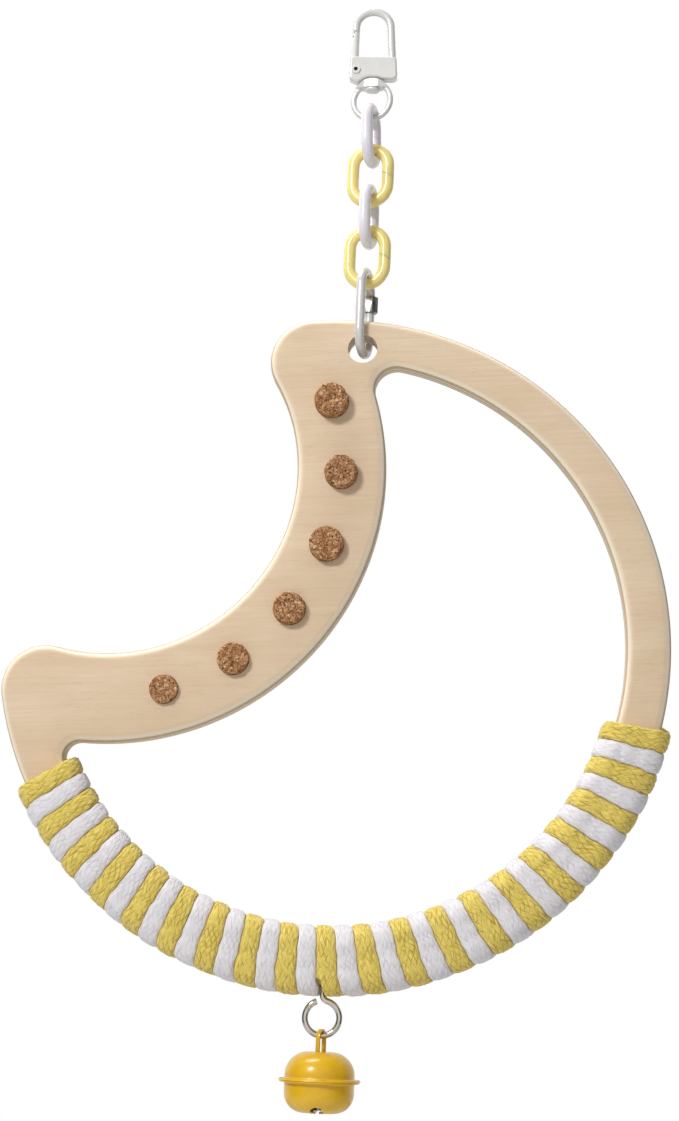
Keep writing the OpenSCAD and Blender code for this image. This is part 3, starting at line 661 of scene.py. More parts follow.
def hook_body():
    lean = radians(LEG_LEAN)
    bow = wire("hook_body_shape", BOW_D, -BOW_R, NOSE_Z)
    wire_straight(0, BOW_Z - NOSE_Z)
    wire_bend(0, BOW_Z, LEG_LEAN - 180, 44)
    leg = BOW_Z - BODY_TOP + LEG_SUNK
    wire_straight(leg * sin(lean), -leg * cos(lean))
    wire_end(bow)
    left, right = HOOK_LOW.x, HOOK_HIGH.x
    pen = Pen("hook_block", left, BODY_TOP)
    pen.path((left, BODY_BOTTOM), (left + TOE_L, BODY_BOTTOM - TOE_DROP))
    pen.path(*((x, BODY_BOTTOM + rise) for x, rise in UNDERSIDE))
    pen.path((right - BODY_CORNER, BODY_BOTTOM), (right, BODY_BOTTOM + BODY_CORNER),
             (right - BODY_TAPER, BODY_TOP), (left, BODY_TOP))
    base = slab(pen.close(), BODY_T)
    rounded(base, BODY_ROUND)
    obj = join(bow, base)
    cast(obj, 0.15 * MM)
    cut(obj, block("slot", (left - MM, -SLOT_T / 2, PIVOT.z - SLOT_DROP),
                   (SLOT_X, SLOT_T / 2, BODY_TOP + MM)))
    lip = block("lip", (BOW_LEFT, -BOW_D, NOSE_Z - LIP_DROP), (BOW_LEFT + LIP_T, BOW_D, NOSE_Z + LIP_LAP))
    nose = rod("nose", BOW_D * 0.97, LIP_DROP + LIP_LAP, (-BOW_R, 0, NOSE_Z - (LIP_DROP - LIP_LAP) / 2))
    cut(nose, lip, "INTERSECT")
    rounded(nose, 0.1 * MM, 2)
    cut(obj, nose, "UNION")
    cut(obj, rod("stud_bore", STUD_BORE, 2 * STUD_DEPTH, (SWIVEL_X, 0, BODY_BOTTOM)))
    cut(obj, rod("rivet_bore", 2.04 * MM, THROUGH, PIVOT, "Y"))
    obj.name = "hook_body_shape"
    clean(obj)
    return present(obj, "hook", hook_white, ["hook_body"])


def hook_gate():
    tip = NOSE_Z - TIP_GAP
    stem = rod("hook_gate_shape", GATE_D, tip - PIVOT.z, (-BOW_R, 0, (tip + PIVOT.z) / 2))
    cut(stem, rod("foot", 3.8 * MM, GATE_D - 0.1 * MM, PIVOT, "Y"), "UNION")
    cut(stem, block("notch", (-BOW_R - BOW_D, -BOW_D, NOSE_Z - NOTCH_DROP),
                    (BOW_LEFT + NOTCH_T, BOW_D, NOSE_Z + BOW_D)))
    cut(stem, rod("bore", 2.12 * MM, THROUGH, PIVOT, "Y"))
    rounded(stem, 0.12 * MM, 2)
    clean(stem)
    return present(stem, "gate", hook_white, ["hook_gate"])


def gate_pin():
    """A hollow rivet, rolled outwards at both ends."""
    inner, outer, head = 0.6 * MM, 1.0 * MM, 1.75 * MM
    head_t, curl, gap = 0.4 * MM, 0.2 * MM, 0.05 * MM
    face = BODY_T / 2 + gap
    top = face + head_t
    profile = Pen("gate_pin_shape", inner, 0)
    profile.line(inner, top - curl).arc(inner + curl, top - curl, -90, 5)
    profile.line(head - curl, top).arc(head - curl, top - curl, -90, 5)
    profile.path((head, face), (outer, face), (outer, 0))
    rivet_half = lathe(profile.done())
    place(rivet_half, at=PIVOT, tip=90)
    modify(rivet_half, "MIRROR", use_axis=(False, True, False), merge_threshold=0.01 * MM)
    weld(rivet_half)
    return present(rivet_half, "hook", rivet_white, ["gate_pin"])


def gate_spring():
    """The coil spring behind the gate's foot, seven turns and two flat ends."""
    low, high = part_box("gate_spring")
    turns, steps, flat = 7, 20, 0.8
    wire_d = 0.34 * MM
    r = (high.z - low.z - wire_d) / 2
    middle = (low + high) / 2
    run = high.x - low.x - wire_d
    points = []
    for k in range(turns * steps + 1):
        share = k / (turns * steps)
        eased = min(max((share * turns - flat) / (turns - 2 * flat), 0), 1)
        a = 2 * pi * k / steps
        points.append((low.x + wire_d / 2 + run * eased, middle.y + r * cos(a), middle.z + r * sin(a)))
    curve = bpy.data.curves.new("gate_spring_coil", "CURVE")
    curve.dimensions = "3D"
    curve.bevel_depth = wire_d / 2
    curve.bevel_resolution = 3
    curve.use_fill_caps = True
    spline = curve.splines.new("POLY")
    spline.points.add(len(points) - 1)
    for point, where in zip(spline.points, points):
        point.co = (*where, 1)
    take(put("gate_spring_coil", curve))
    bpy.ops.object.convert(target="MESH")
    obj = bpy.context.object
    present(obj, "hook", steel, ["gate_spring"])
    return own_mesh(obj)


# Swivel


RING_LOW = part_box("swivel_ring")[0]
RING_D = 16.2 * MM
RING_WIRE = 2.2 * MM
RING_MID = Vector((SWIVEL_X, 0, RING_LOW.z + RING_D / 2))
RING_CHORD = RING_D / 2 - 3.4 * MM
# The bearing seen from above: half its length and its width, at its hub and at its ends
HUB_X, HUB_T = 2.6 * MM, 5.4 * MM
END_X, END_T = 6.3 * MM, 2.2 * MM
STUD_LOW, STUD_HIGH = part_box("swivel_stud")


def swivel_ring():
    """A wire ring whose top thickens into the bearing for the stud."""
    r = (RING_D - RING_WIRE) / 2
    ring = wire("swivel_ring_shape", RING_WIRE, r, 0)
    wire_bend(0, 0, 360, 72)
    wire_end(ring)
    half = sqrt((RING_D / 2) ** 2 - RING_CHORD ** 2)
    a = degrees(acos(RING_CHORD / (RING_D / 2)))
    pen = Pen("bearing", half, RING_CHORD)
    pen.arc(0, 0, 2 * a, 24).line(half, RING_CHORD)
    top = slab(pen.close(), HUB_T)
    waist = Pen("waist", END_X, END_T / 2)
    waist.path((HUB_X, HUB_T / 2), (-HUB_X, HUB_T / 2), (-END_X, END_T / 2), (-END_X, -END_T / 2),
               (-HUB_X, -HUB_T / 2), (HUB_X, -HUB_T / 2), (END_X, -END_T / 2), (END_X, END_T / 2))
    plan = slab(waist.close(), RING_D)
    place(plan, at=(0, 0, RING_D / 2), tip=90)
    cut(top, plan, "INTERSECT")
    rounded(top, 0.5 * MM, 3, 25)
    ring = join(ring, top)
    cast(ring, 0.14 * MM)
    cut(ring, rod("bore", STUD_BORE, RING_D, (0, 0, RING_D / 2)))
    place(ring, CHAIN_YAW, RING_MID)
    return present(ring, "ring", hook_white, ["swivel_ring"])


def swivel_stud():
    """The stud with its domed rivet head, seen inside the ring's top."""
    shaft, head, head_t, edge = 1.3 * MM, 2.7 * MM, 1.2 * MM, 0.1 * MM
    # The dome: in from the head's side, and up from its foot
    dome = ((0.9 * MM, 0.05 * MM), (0.3 * MM, 0.25 * MM), (0, 0.65 * MM))
    low, high = STUD_LOW.z, STUD_HIGH.z
    pen = Pen("swivel_stud_shape", 0, low)
    pen.path(*((head - inwards, low + up) for inwards, up in dome))
    pen.path((head, low + head_t - edge), (head - edge, low + head_t),
             (shaft, low + head_t), (shaft, high), (0, high))
    stud = lathe(pen.done())
    place(stud, 0, (SWIVEL_X, 0, 0))
    return present(stud, "hook", rivet_white, ["swivel_stud"])


# Chain and quick link


def oval_wire(name, l, w, d, arc_steps=26, sides=28):
    """An oval link of round wire in the X-Z plane, its straight legs along Z."""
    r, straight = (w - d) / 2, l - w
    obj = wire(name, d, r, -straight / 2, sides)
    wire_straight(0, straight)
    wire_bend(0, straight / 2, 180, arc_steps)
    wire_straight(0, -straight)
    wire_bend(0, -straight / 2, 180, arc_steps)
    return wire_end(obj)


def chain_link(i):
    """A moulded link: a parting ridge all round, and the slit that it was closed at."""
    low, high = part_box(f"chain_link_{i}")
    obj = oval_wire(f"chain_link_{i}_shape", LINK_L, LINK_W, LINK_D)
    ridge, slit_w, slit_dir = 0.07 * MM, 0.1 * MM, 30
    pick(obj, lambda v: abs(v.co.y) < 0.02 * MM)
    bpy.ops.transform.shrink_fatten(value=ridge)
    stop_edit()
    slit = block("slit", (-LINK_D, -LINK_D, -slit_w / 2), (LINK_D, LINK_D, slit_w / 2))
    place(slit, at=((LINK_W - LINK_D) / 2, 0, 0), roll=slit_dir)
    cut(obj, slit)
    turn = 90 if i % 2 else 0
    roll = -FIRST_LINK_ROLL if i == 1 else 0
    place(obj, CHAIN_YAW + turn, (low + high) / 2, roll)
    material, slot = (link_white, "link_white") if i % 2 else (link_yellow, "link_yellow")
    return present(obj, f"link_{i}", material, [f"chain_link_{i}"], 50)


QUICK_LOW, QUICK_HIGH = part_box("quick_link")
QUICK_L, QUICK_W, QUICK_D = 34.2 * MM, 17.8 * MM, 3.5 * MM
QUICK_X = (QUICK_LOW.x + QUICK_HIGH.x) / 2
QUICK_R = (QUICK_W - QUICK_D) / 2
QUICK_GAP = 4 * MM
SLEEVE_LOW, SLEEVE_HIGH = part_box("quick_link_sleeve")


def quick_link():
    """The steel oval: its rear leg is open, threaded at both ends of the gap."""
    mid = (QUICK_LOW.z + QUICK_HIGH.z) / 2
    obj = oval_wire("quick_link_shape", QUICK_L, QUICK_W, QUICK_D)
    top = SLEEVE_HIGH.z - 0.8 * MM - mid
    cut(obj, block("gap", (QUICK_R - QUICK_D, -QUICK_D, top - QUICK_GAP), (QUICK_R + QUICK_D, QUICK_D, top)))
    rounded(obj, 0.2 * MM, 2, 60)
    place(obj, CHAIN_YAW + 90, (QUICK_X, 0, mid))
    return present(obj, "quick", quick_white, ["quick_link"])


def sleeve():
    """The hexagon sleeve, its corners turned off at both ends."""
    length = SLEEVE_HIGH.z - SLEEVE_LOW.z
    across, bore, corner = 5.2 * MM, 3.62 * MM, 0.45 * MM
    over = across / cos(radians(30))
    obj = rod("quick_link_sleeve_shape", over, length, (0, 0, 0), sides=6)
    turned = rod("turned", over * 1.02, length, (0, 0, 0), sides=64)
    rounded(turned, corner, 3, 60)
    cut(obj, turned, "INTERSECT")
    cut(obj, rod("thread", bore, 2 * length, (0, 0, 0)))
    rounded(obj, 0.06 * MM, 1, 30)
    place(obj, at=(QUICK_R, 0, 0))
    place(obj, CHAIN_YAW + 90, (QUICK_X, 0, (SLEEVE_LOW.z + SLEEVE_HIGH.z) / 2))
    return present(obj, "sleeve", steel, ["quick_link_sleeve"])


# Plywood board


BITE = (BITE_DISTANCE * cos(radians(BITE_DIR)), BITE_DISTANCE * sin(radians(BITE_DIR)))
RIM_IN_R = RING_R - RIM_W
ARM_R = BITE_R + ARM_W
HOLE = (HOLE_X, sqrt((RING_R - HOLE_INSET) ** 2 - HOLE_X ** 2))


def spread(r, far):
    """Degrees between the bite and a round corner, from the radii of the two arcs that it joins."""
    return degrees(acos((r ** 2 + BITE_DISTANCE ** 2 - far ** 2) / (2 * r * BITE_DISTANCE)))


def polar(r, a):
    return r * cos(radians(a)), r * sin(radians(a))


def heading(a, b):
    return degrees(atan2(b[1] - a[1], b[0] - a[0]))


def turned_to(start, end, way):
    """The angle from one direction to another, turning that way: 1 is counterclockwise."""
    return way * ((way * (end - start)) % 360)


def crescent(name, r, far, corner_a, corner_b, steps):
    """One of the board's two outlines: the ring's arc, a corner, the bite's arc and a corner."""
    first = BITE_DIR - spread(r - corner_a, far + corner_a)
    last = BITE_DIR + spread(r - corner_b, far + corner_b)
    up, down = polar(r - corner_a, first), polar(r - corner_b, last)
    start = polar(r, last)
    pen = Pen(name, *start)
    pen.arc(0, 0, turned_to(last, first, 1), steps[0])
    pen.arc(*up, turned_to(first, heading(up, BITE), 1), steps[1])
    pen.arc(*BITE, turned_to(heading(BITE, up), heading(BITE, down), -1), steps[2])
    pen.arc(*down, turned_to(heading(down, BITE), last, 1), steps[3])
    return pen.close()


BOARD_STEPS = (190, 26, 84, 26)


def board():
    """The bitten ring: two outlines, bridged, thickened and rounded, then bored."""
    outer = crescent("frame_board_shape", RING_R, BITE_R, LOBE_R, LOBE_R, BOARD_STEPS)
    inner = crescent("opening", RIM_IN_R, ARM_R, UPPER_CORNER_R, LOWER_CORNER_R, BOARD_STEPS)
    obj = join(outer, inner)
    edit_all(obj, "EDGE")
    bpy.ops.mesh.bridge_edge_loops()
    bpy.ops.mesh.select_all(action="SELECT")
    bpy.ops.transform.translate(value=(0, -BOARD_T / 2, 0))
    extrude(0, BOARD_T, 0)
    outwards()
    rounded(obj, EDGE_R, 7, 60)
    cut(obj, rod("hole", HOLE_D, 2 * BOARD_T, (HOLE[0], 0, HOLE[1]), "Y", 64))
    place(obj, 0, CENTRE, -BOARD_LEAN)
    for i in range(1, 7):
        low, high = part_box(f"cork_plug_{i}")
        middle = (low + high) / 2
        cut(obj, rod("seat", high.x - low.x + 0.1 * MM, 4 * BOARD_T, middle, "Y", 48))
    clean(obj)
    return present(obj, "swing", birch, ["frame_board"], 25)


def cork_plug(i):
    """A cork plug with worn edges and pitted faces."""
    low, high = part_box(f"cork_plug_{i}")
    d, length = high.x - low.x, high.y - low.y
    obj = rod(f"cork_plug_{i}_shape", d, length, (low + high) / 2, "Y", 40)
    rounded(obj, 0.7 * MM, 3, 60)
    remesh(obj, 0.33 * MM)
    for size, depth in ((1.6 * MM, 0.5 * MM), (0.7 * MM, 0.32 * MM)):
        pits = bpy.data.textures.new(f"pits_{i}", "CLOUDS")
        pits.noise_scale = size
        pits.noise_depth = 2
        modify(obj, "DISPLACE", texture=pits, texture_coords="LOCAL", strength=depth, mid_level=0.62)
    return present(obj, "swing", cork_brown, [f"cork_plug_{i}"], 60)


# Perch cords: the same route as in the frame, with round shoulders and braided strands


YELLOW_TURNS = 20
STRIPES = 2 * YELLOW_TURNS - 1
CORD_T = 3.9 * MM
CORD_SEAT = 0.25 * MM
CORD_GAP = 0.06 * MM
WRAP_LEFT, WRAP_RIGHT = 156.8, 17.5
LEAN_SHARE = 0.75
RIM_MID_R = RING_R - RIM_W / 2
SIDE_FLAT = RIM_W / 2 - EDGE_R
EDGE_FLAT = BOARD_T / 2 - EDGE_R
CORNER_RUN = (EDGE_R + CORD_SEAT + CORD_T / 2) * pi / 2
TURN_RUN = 4 * (SIDE_FLAT + EDGE_FLAT + CORNER_RUN)
EYE_LEFT = 6.2 * MM
SHANK_DIR = degrees(acos(-EYE_LEFT / RING_R))
SHANK_CLEAR = 1.35 * MM
SHANK_REACH, SHANK_EASE = 9 * MM, 6 * MM
OUTER_SHARE = 0.75
CORD_SIDES = 44
CORD_STEP = 0.6 * MM
OVER_TURNS = 0.12
TIP_L = 1.6 * MM


def turn_share(share):
    """Turns made at a share of a turn's run, slow over the front and quick over the back."""
    return share + LEAN_SHARE / (2 * pi) * np.sin(2 * pi * share)


def rim_skin(run):
    """The place on the wood and the way out of it, in radius and y, at a run from the back's middle."""
    stops = np.cumsum([SIDE_FLAT, CORNER_RUN, 2 * EDGE_FLAT, CORNER_RUN, 2 * SIDE_FLAT,
                       CORNER_RUN, 2 * EDGE_FLAT, CORNER_RUN, SIDE_FLAT])
    run = np.mod(run, TURN_RUN)
    where = np.searchsorted(stops, run, side="right").clip(0, 8)
    into = run - np.concatenate([[0], stops])[where]
    turn = np.where(where % 2 == 1, into / CORNER_RUN, 0) + where // 2
    angle = turn * pi / 2
    out = np.stack([-np.sin(angle), np.cos(angle)], 1)
    corner_r = np.array([-1, -1, -1, -1, 1, 1, 1, 1, 1])[where]
    corner_y = np.array([1, 1, 1, -1, -1, -1, -1, 1, 1])[where]
    flat_run = np.where(where % 2 == 0, into, 0)
    base_r = np.where(where == 0, -flat_run, np.where(where == 4, flat_run - SIDE_FLAT,
                      np.where(where == 8, SIDE_FLAT - flat_run, corner_r * SIDE_FLAT)))
    base_y = np.where(where == 2, EDGE_FLAT - flat_run, np.where(where == 6, flat_run - EDGE_FLAT,
                      corner_y * EDGE_FLAT))
    return np.stack([RIM_MID_R + base_r, base_y], 1) + EDGE_R * out, out


LEFT_TURNS = round(STRIPES / 2 * (WRAP_LEFT - SHANK_DIR) / (WRAP_LEFT - WRAP_RIGHT))
LEFT_STRIPES = 2 * (LEFT_TURNS + turn_share(OUTER_SHARE)) - 1


def stripe_dir(n):
    """Direction of a stripe from the ring's centre, in degrees below the horizontal."""
    left = WRAP_LEFT - (WRAP_LEFT - SHANK_DIR) * n / LEFT_STRIPES
    right = SHANK_DIR - (SHANK_DIR - WRAP_RIGHT) * (n - LEFT_STRIPES) / (STRIPES - LEFT_STRIPES)
    return np.where(n < LEFT_STRIPES, left, right)


def sway(boundary, share, rng_table):
    """How far a boundary between two cords wanders sideways, in metres, the same for both of them."""
    k = (np.round(boundary).astype(int) + 4) % len(rng_table)
    a, b, c = rng_table[k, 0], rng_table[k, 1], rng_table[k, 2]
    return 0.16 * MM * (np.sin(2 * pi * (share * 3 + a)) + np.sin(2 * pi * (share * 7 + b)) * 0.8
                        + np.sin(2 * pi * (share * 13 + c)) * 0.5)


def braid(along, over):
    """How high the crossing strands stand, from 0 to 1, at a place along the cord and round it."""
    a = along * sin(radians(STRAND_TURN)) / STRAND_W
    b = over * cos(radians(STRAND_TURN)) / STRAND_W
    left, right = a - b, a + b
    upper = np.mod(np.floor(left) + np.floor(right), 2) > 0.5
    strand, other = np.where(upper, right, left), np.where(upper, left, right)
    crown = 1 - (2 * np.mod(strand, 1) - 1) ** 2
    dip = 1 - (2 * np.mod(other, 1) - 1) ** 4
    return crown * (0.45 + 0.55 * dip)


def cord_section():
    """The flattened section: from side to side, from the wood outwards, and the run round it."""
    angle = 2 * pi * np.arange(CORD_SIDES + 1) / CORD_SIDES
    across = -np.sign(np.sin(angle)) * np.abs(np.sin(angle)) ** 0.7
    height = 0.5 - 0.5 * np.sign(np.cos(angle)) * np.abs(np.cos(angle)) ** 0.55
    steps = np.hypot(np.diff(across) * CORD_W / 2, np.diff(height) * CORD_T)
    over = np.concatenate([[0], np.cumsum(steps)])
    return across, height, over - over[CORD_SIDES // 2]


def cord_map(along, over):
    """Places along the cord and round it, where the strands wander a little both ways."""
    u = along[:, None] + 0.9 * MM * np.sin(2 * pi * (along[:, None] / (23 * MM) + over[None, :] / (9 * MM)))
    drift = np.sin(2 * pi * along / (17 * MM)) + np.sin(2 * pi * along / (7.3 * MM))
    v = over[None, :] + 0.35 * MM * drift[:, None] + 0.25 * MM * np.sin(2 * pi * along / (41 * MM))[:, None]
    return u, v


def past_shank(direction, n, share, place_r):
    """Directions moved aside where the two cords make room for the screw eye's shank."""
    from_outer = np.abs(share - OUTER_SHARE) * TURN_RUN
    room = np.clip((SHANK_REACH - from_outer) / SHANK_EASE, 0, 1)
    room = room * room * (3 - 2 * room)
    clear = np.degrees(SHANK_CLEAR / place_r) * room[:, None]
    beside = (np.abs(n - LEFT_STRIPES)[:, None] < 1.02) & (room[:, None] > 0)
    off = direction - SHANK_DIR
    pushed = np.where((n > LEFT_STRIPES)[:, None], np.minimum(off, -clear), np.maximum(off, clear))
    return np.where(beside, SHANK_DIR + pushed, direction)


def tube(name, points, u, v):
    """A tube with closed ends through rings of points, with its map."""
    rings, sides = points.shape[:2]
    i, j = np.arange(rings - 1)[:, None] * sides, np.arange(sides)[None, :]
    next_j = (j + 1) % sides
    faces = np.stack([i + j, i + sides + j, i + sides + next_j, i + next_j], 2).reshape(-1, 4)
    caps = [list(range(sides)), [(rings - 1) * sides + k for k in range(sides)][::-1]]
    mesh = bpy.data.meshes.new(name)
    mesh.from_pydata(points.reshape(-1, 3).tolist(), [], faces.tolist() + caps)
    corners = np.stack([np.stack([m[:-1, :-1], m[1:, :-1], m[1:, 1:], m[:-1, 1:]], 2) for m in (u, v)], 3)
    values = np.zeros((len(mesh.loops), 2), np.float32)
    values[: corners.size // 2] = corners.reshape(-1, 2)
    mesh.uv_layers.new(name="cord").data.foreach_set("uv", values.ravel())
    obj = put(name, mesh)
    edit_all(obj)
    outwards()
    return obj


def wound_cord(turns, shift, relief, material, colour):
    """One cord, wound round the rim: a flattened round section whose strands stand up a little."""
    table = np.random.default_rng(11).random((STRIPES + 9, 3))
    t = np.linspace(-OVER_TURNS, turns + OVER_TURNS, int((turns + 2 * OVER_TURNS) * TURN_RUN / CORD_STEP))
    whole = np.floor(t)
    share = t - whole
    n = 2 * (whole + turn_share(share)) - 0.5 + shift
    skin, out = rim_skin(share * TURN_RUN)
    thick = CORD_T * RIM_MID_R / (skin[:, 0] + out[:, 0] * CORD_T / 2)
    thick = thick * (1 + 0.03 * np.sin(2 * pi * (t * 5.3 + shift * 0.37)) + 0.02 * np.sin(2 * pi * t * 11.7))
    across, height, over = cord_section()
    u, v = cord_map(t * TURN_RUN, over)
    # Each end draws in to a round, sealed tip
    near = np.minimum(t - t[0], t[-1] - t) * TURN_RUN / TIP_L
    pull = np.sqrt(np.clip(1 - (1 - np.clip(near, 0, 1)) ** 2, 0.02, 1))
    # In the section, w runs from side to side and h from the wood outwards
    w = across[None, :-1] * pull[:, None]
    h = 0.5 + (height[None, :-1] - 0.5) * pull[:, None]
    lift = relief * (braid(u, v)[:, :-1] - 0.8) * np.clip(h * 3 - 0.4, 0, 1) * pull[:, None]
    rise = CORD_SEAT + h * thick[:, None] + lift
    place_r = skin[:, None, 0] + rise * out[:, None, 0]
    place_y = skin[:, None, 1] + rise * out[:, None, 1]
    side = w / 2
    wander = sway(n[:, None] + np.sign(side) / 2, np.mod(share, 1)[:, None] + 0 * side, table) * w ** 2
    direction = stripe_dir(n[:, None] + side) - np.degrees((wander - w * CORD_GAP / 2) / place_r)
    a = np.radians(past_shank(direction, n, share, place_r) - BOARD_LEAN)
    points = np.stack([CENTRE.x + place_r * np.cos(a), place_y, CENTRE.z - place_r * np.sin(a)], 2)
    obj = tube(f"{colour}_cord_shape", points, u, v)
    return present(obj, "swing", material, [f"{colour}_cord"], 80)


# Screw eye and bell


EYE_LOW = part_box("screw_eye")[0]
EYE_D = 14 * MM
EYE_WIRE = 2.2 * MM
EYE_R = (EYE_D - EYE_WIRE) / 2
BELL_X = sum(corner.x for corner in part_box("bell_top")) / 2
EYE = Vector((BELL_X, 0, EYE_LOW.z + EYE_D / 2))
NECK_R = 2.5 * MM
SHANK_OFF = 0.3 * MM
SHANK_TOP = 22.5 * MM
SHANK_POINT = 2.2 * MM
POINT_SHARE = 0.3
EYE_GAP_DIR = 106


def screw_eye():
    """One wire: the shank, a bend back, and the eye, which stops short of closing."""
    rise = sqrt((EYE_R + NECK_R) ** 2 - (NECK_R + SHANK_OFF) ** 2)
    neck = degrees(atan2(rise, NECK_R + SHANK_OFF))
    obj = wire("screw_eye_shape", EYE_WIRE, SHANK_OFF, SHANK_TOP - SHANK_POINT, 32)
    wire_straight(0, rise - SHANK_TOP + SHANK_POINT)
    wire_bend(SHANK_OFF + NECK_R, rise, neck, 10)
    wire_bend(0, 0, -(360 + neck - EYE_GAP_DIR), 64)
    wire_end(obj)
    pick(obj, lambda face: face.center.z > SHANK_TOP - SHANK_POINT - 0.01 * MM, "FACE")
    extrude(0, 0, SHANK_POINT)
    bpy.ops.transform.resize(value=(POINT_SHARE, POINT_SHARE, 1), center_override=(SHANK_OFF, 0, SHANK_TOP))
    stop_edit()
    rounded(obj, 0.12 * MM, 2, 60)
    place(obj, 0, EYE, -BOARD_LEAN)
    return present(obj, "swing", nickel, ["screw_eye"])


BELL_BOTTOM_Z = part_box("bell_bottom")[0].z
SEAM_Z, BELL_TOP_Z = (corner.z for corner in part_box("bell_top"))
BELL_R = 12 * MM
BELL_RIM_R = 14 * MM
BELL_WALL = 0.6 * MM
BELL_YAW = -20
RIM_BEND = 0.7 * MM
SLOT_W, SLOT_END, SLOT_END_D = 1.2 * MM, 8 * MM, 4.6 * MM


def bell_shell(name, height, corner):
    """Half a bell, drawn as a profile that stands on the seam, spun and given its wall."""
    bend_r = BELL_R + RIM_BEND
    pen = Pen(name, BELL_RIM_R - 0.25 * MM, BELL_WALL)
    pen.line(bend_r, BELL_WALL).arc(bend_r, BELL_WALL + RIM_BEND, -90, 6)
    pen.line(BELL_R, height - corner).arc(BELL_R - corner, height - corner, 90, 22).line(0, height)
    shell = lathe(pen.done(), steps=96)
    modify(shell, "SOLIDIFY", thickness=BELL_WALL, offset=-1, use_quality_normals=True)
    return shell


def bell_top():
    """The upper shell, whose rim is folded over the lower one's."""
    shell = bell_shell("bell_top_shape", BELL_TOP_Z - SEAM_Z, 8 * MM)
    inner, middle, outer = BELL_RIM_R - 0.9 * MM, BELL_RIM_R - 0.5 * MM, BELL_RIM_R + 0.05 * MM
    bend_z, low = 0.05 * MM, -0.02 * MM
    fold = Pen("fold", inner, BELL_WALL)
    fold.line(middle, BELL_WALL).arc(middle, bend_z, -90, 6)
    fold.path((outer, low), (middle, low), (inner, BELL_WALL))
    shell = join(shell, lathe(fold.close(), steps=96))
    place(shell, 0, (EYE.x, 0, SEAM_Z))
    return present(shell, "bell", bell_lacquer, ["bell_top"], 50)


def bell_bottom():
    height = SEAM_Z - BELL_BOTTOM_Z
    shell = bell_shell("bell_bottom_shape", height, 6.6 * MM)
    low = BELL_WALL * 1.5
    cut(shell, block("slot", (-SLOT_W / 2, -SLOT_END, low), (SLOT_W / 2, SLOT_END, height + MM)))
    for side in (-1, 1):
        cut(shell, rod("hole", SLOT_END_D, height, (0, side * SLOT_END, low + height / 2)))
    rounded(shell, 0.12 * MM, 2, 60)
    clean(shell)
    place(shell, at=(EYE.x, 0, SEAM_Z), tip=180)
    return present(shell, "bell", bell_lacquer, ["bell_bottom"], 50)


def bell_loop():
    """A strip folded into a loop, its legs let into the shell."""
    low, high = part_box("bell_loop")
    r, t, w = 2.1 * MM, 0.9 * MM, 1.5 * MM
    arc_z = high.z - r - t
    foot = BELL_TOP_Z - BELL_WALL
    pen = Pen("bell_loop_shape", r + t, foot)
    pen.line(r + t, arc_z).arc(0, arc_z, 180, 24).line(-r - t, foot)
    pen.path((-r, foot), (-r, arc_z)).arc(0, arc_z, -180, 24).path((r, foot), (r + t, foot))
    obj = slab(pen.close(), w)
    rounded(obj, 0.22 * MM, 3, 50)
    place(obj, BELL_YAW + 90, (EYE.x, 0, 0))
    return present(obj, "bell", bell_lacquer, ["bell_loop"])


# Building


hook_body()
hook_gate()
gate_pin()
gate_spring()
swivel_ring()
swivel_stud()
for number in range(1, 5):
    chain_link(number)
quick_link()
sleeve()
board()
for number in range(1, 7):
    cork_plug(number)
wound_cord(YELLOW_TURNS, 0, 0.4 * MM, cord_yellow, "yellow")
wound_cord(YELLOW_TURNS - 1, 1, 0.2 * MM, cord_white, "white")
screw_eye()
bell_top()
bell_bottom()
bell_loop()
dress("bell_ball", steel)


# Stage: floor, light and camera


AMBIENT = 0.36
ROOM_LEVEL = 0.05
SIDE_Y, SIDE_NEAR, SIDE_FAR = -0.2, 0.3, 0.8
FLOOR_R, FLOOR_Z = 1.5, -0.8
FLOOR_LIFT = 0.3


def stage_floor():
    deselect()
    bpy.ops.mesh.primitive_circle_add(vertices=96, radius=FLOOR_R, fill_type="NGON", location=(0, 0, FLOOR_Z))
    floor = bpy.context.object
    floor.name = "floor"
    f = Finish("pale_floor")
    lift = f.maths("MULTIPLY", f.node("LightPath", out="Is Camera Ray"), FLOOR_LIFT)
    f.give(Base_Color=srgb(226, 226, 226), Roughness=0.9, Emission_Color=WHITE, Emission_Strength=lift)
    floor.data.materials.append(f.material)


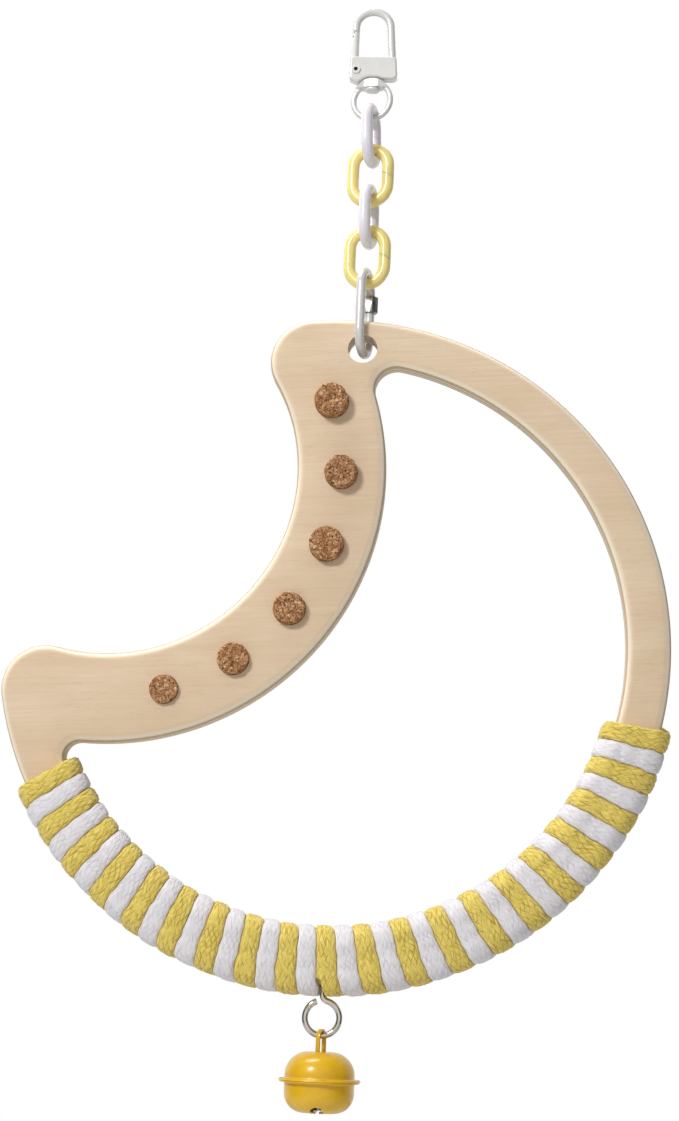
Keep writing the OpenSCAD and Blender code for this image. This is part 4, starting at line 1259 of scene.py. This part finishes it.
def area_light(name, at, size, power):
    """A round lamp that looks at the board's centre."""
    data = bpy.data.lights.new(name, "AREA")
    data.shape = "DISK"
    data.size = size
    data.energy = power
    lamp = put(name, data)
    lamp.location = at
    lamp.rotation_euler = (CENTRE - Vector(at)).to_track_quat("-Z", "Y").to_euler()


def world():
    """White to the camera; in reflections white before and behind the swing and dim at its sides."""
    made = bpy.data.worlds.new("studio")
    bpy.context.scene.world = made
    made.use_nodes = True
    g = Graph(made.node_tree)
    y = g.axis(g.node("TexCoord", out="Generated"), 1)
    off = g.maths("ABSOLUTE", g.maths("SUBTRACT", y, SIDE_Y))
    mirrored = g.span(off, SIDE_NEAR, SIDE_FAR, ROOM_LEVEL)
    glossy = g.blend(g.node("LightPath", out="Is Glossy Ray"), AMBIENT, mirrored)
    seen = g.maths("MAXIMUM", g.node("LightPath", out="Is Camera Ray"),
                   g.node("LightPath", out="Is Transmission Ray"))
    background = g.tree.nodes["Background"].inputs
    g.set(background["Strength"], g.blend(seen, glossy, 1.0))
    g.set(background["Color"], WHITE)


def camera():
    data = bpy.data.cameras.new("photo_camera")
    data.sensor_width = SENSOR
    data.lens = SENSOR * FOCAL_PX / PHOTO_H
    data.clip_start, data.clip_end = 0.01, 20
    made = put("photo_camera", data)
    a, e = radians(CAMERA_AZIMUTH), radians(CAMERA_ELEVATION)
    back = Vector((sin(a) * cos(e), -cos(a) * cos(e), sin(e)))
    right = Vector((cos(a), sin(a), 0))
    up = back.cross(right)
    front = Vector((CENTRE.x, -BOARD_T / 2, CENTRE.z))
    made.location = front + right * AIM_RIGHT + up * AIM_UP + back * CAMERA_DISTANCE
    made.rotation_mode = "QUATERNION"
    made.rotation_quaternion = (-back).to_track_quat("-Z", "Y") @ Quaternion((0, 0, 1), radians(CAMERA_ROLL))
    bpy.context.scene.camera = made


stage_floor()
area_light("key", at=(-0.66, -1.1, 0.45), size=0.34, power=11)
area_light("top", at=(-0.4, 0.05, 0.9), size=0.8, power=13)
world()
camera()
bpy.context.scene.view_settings.view_transform = "Standard"
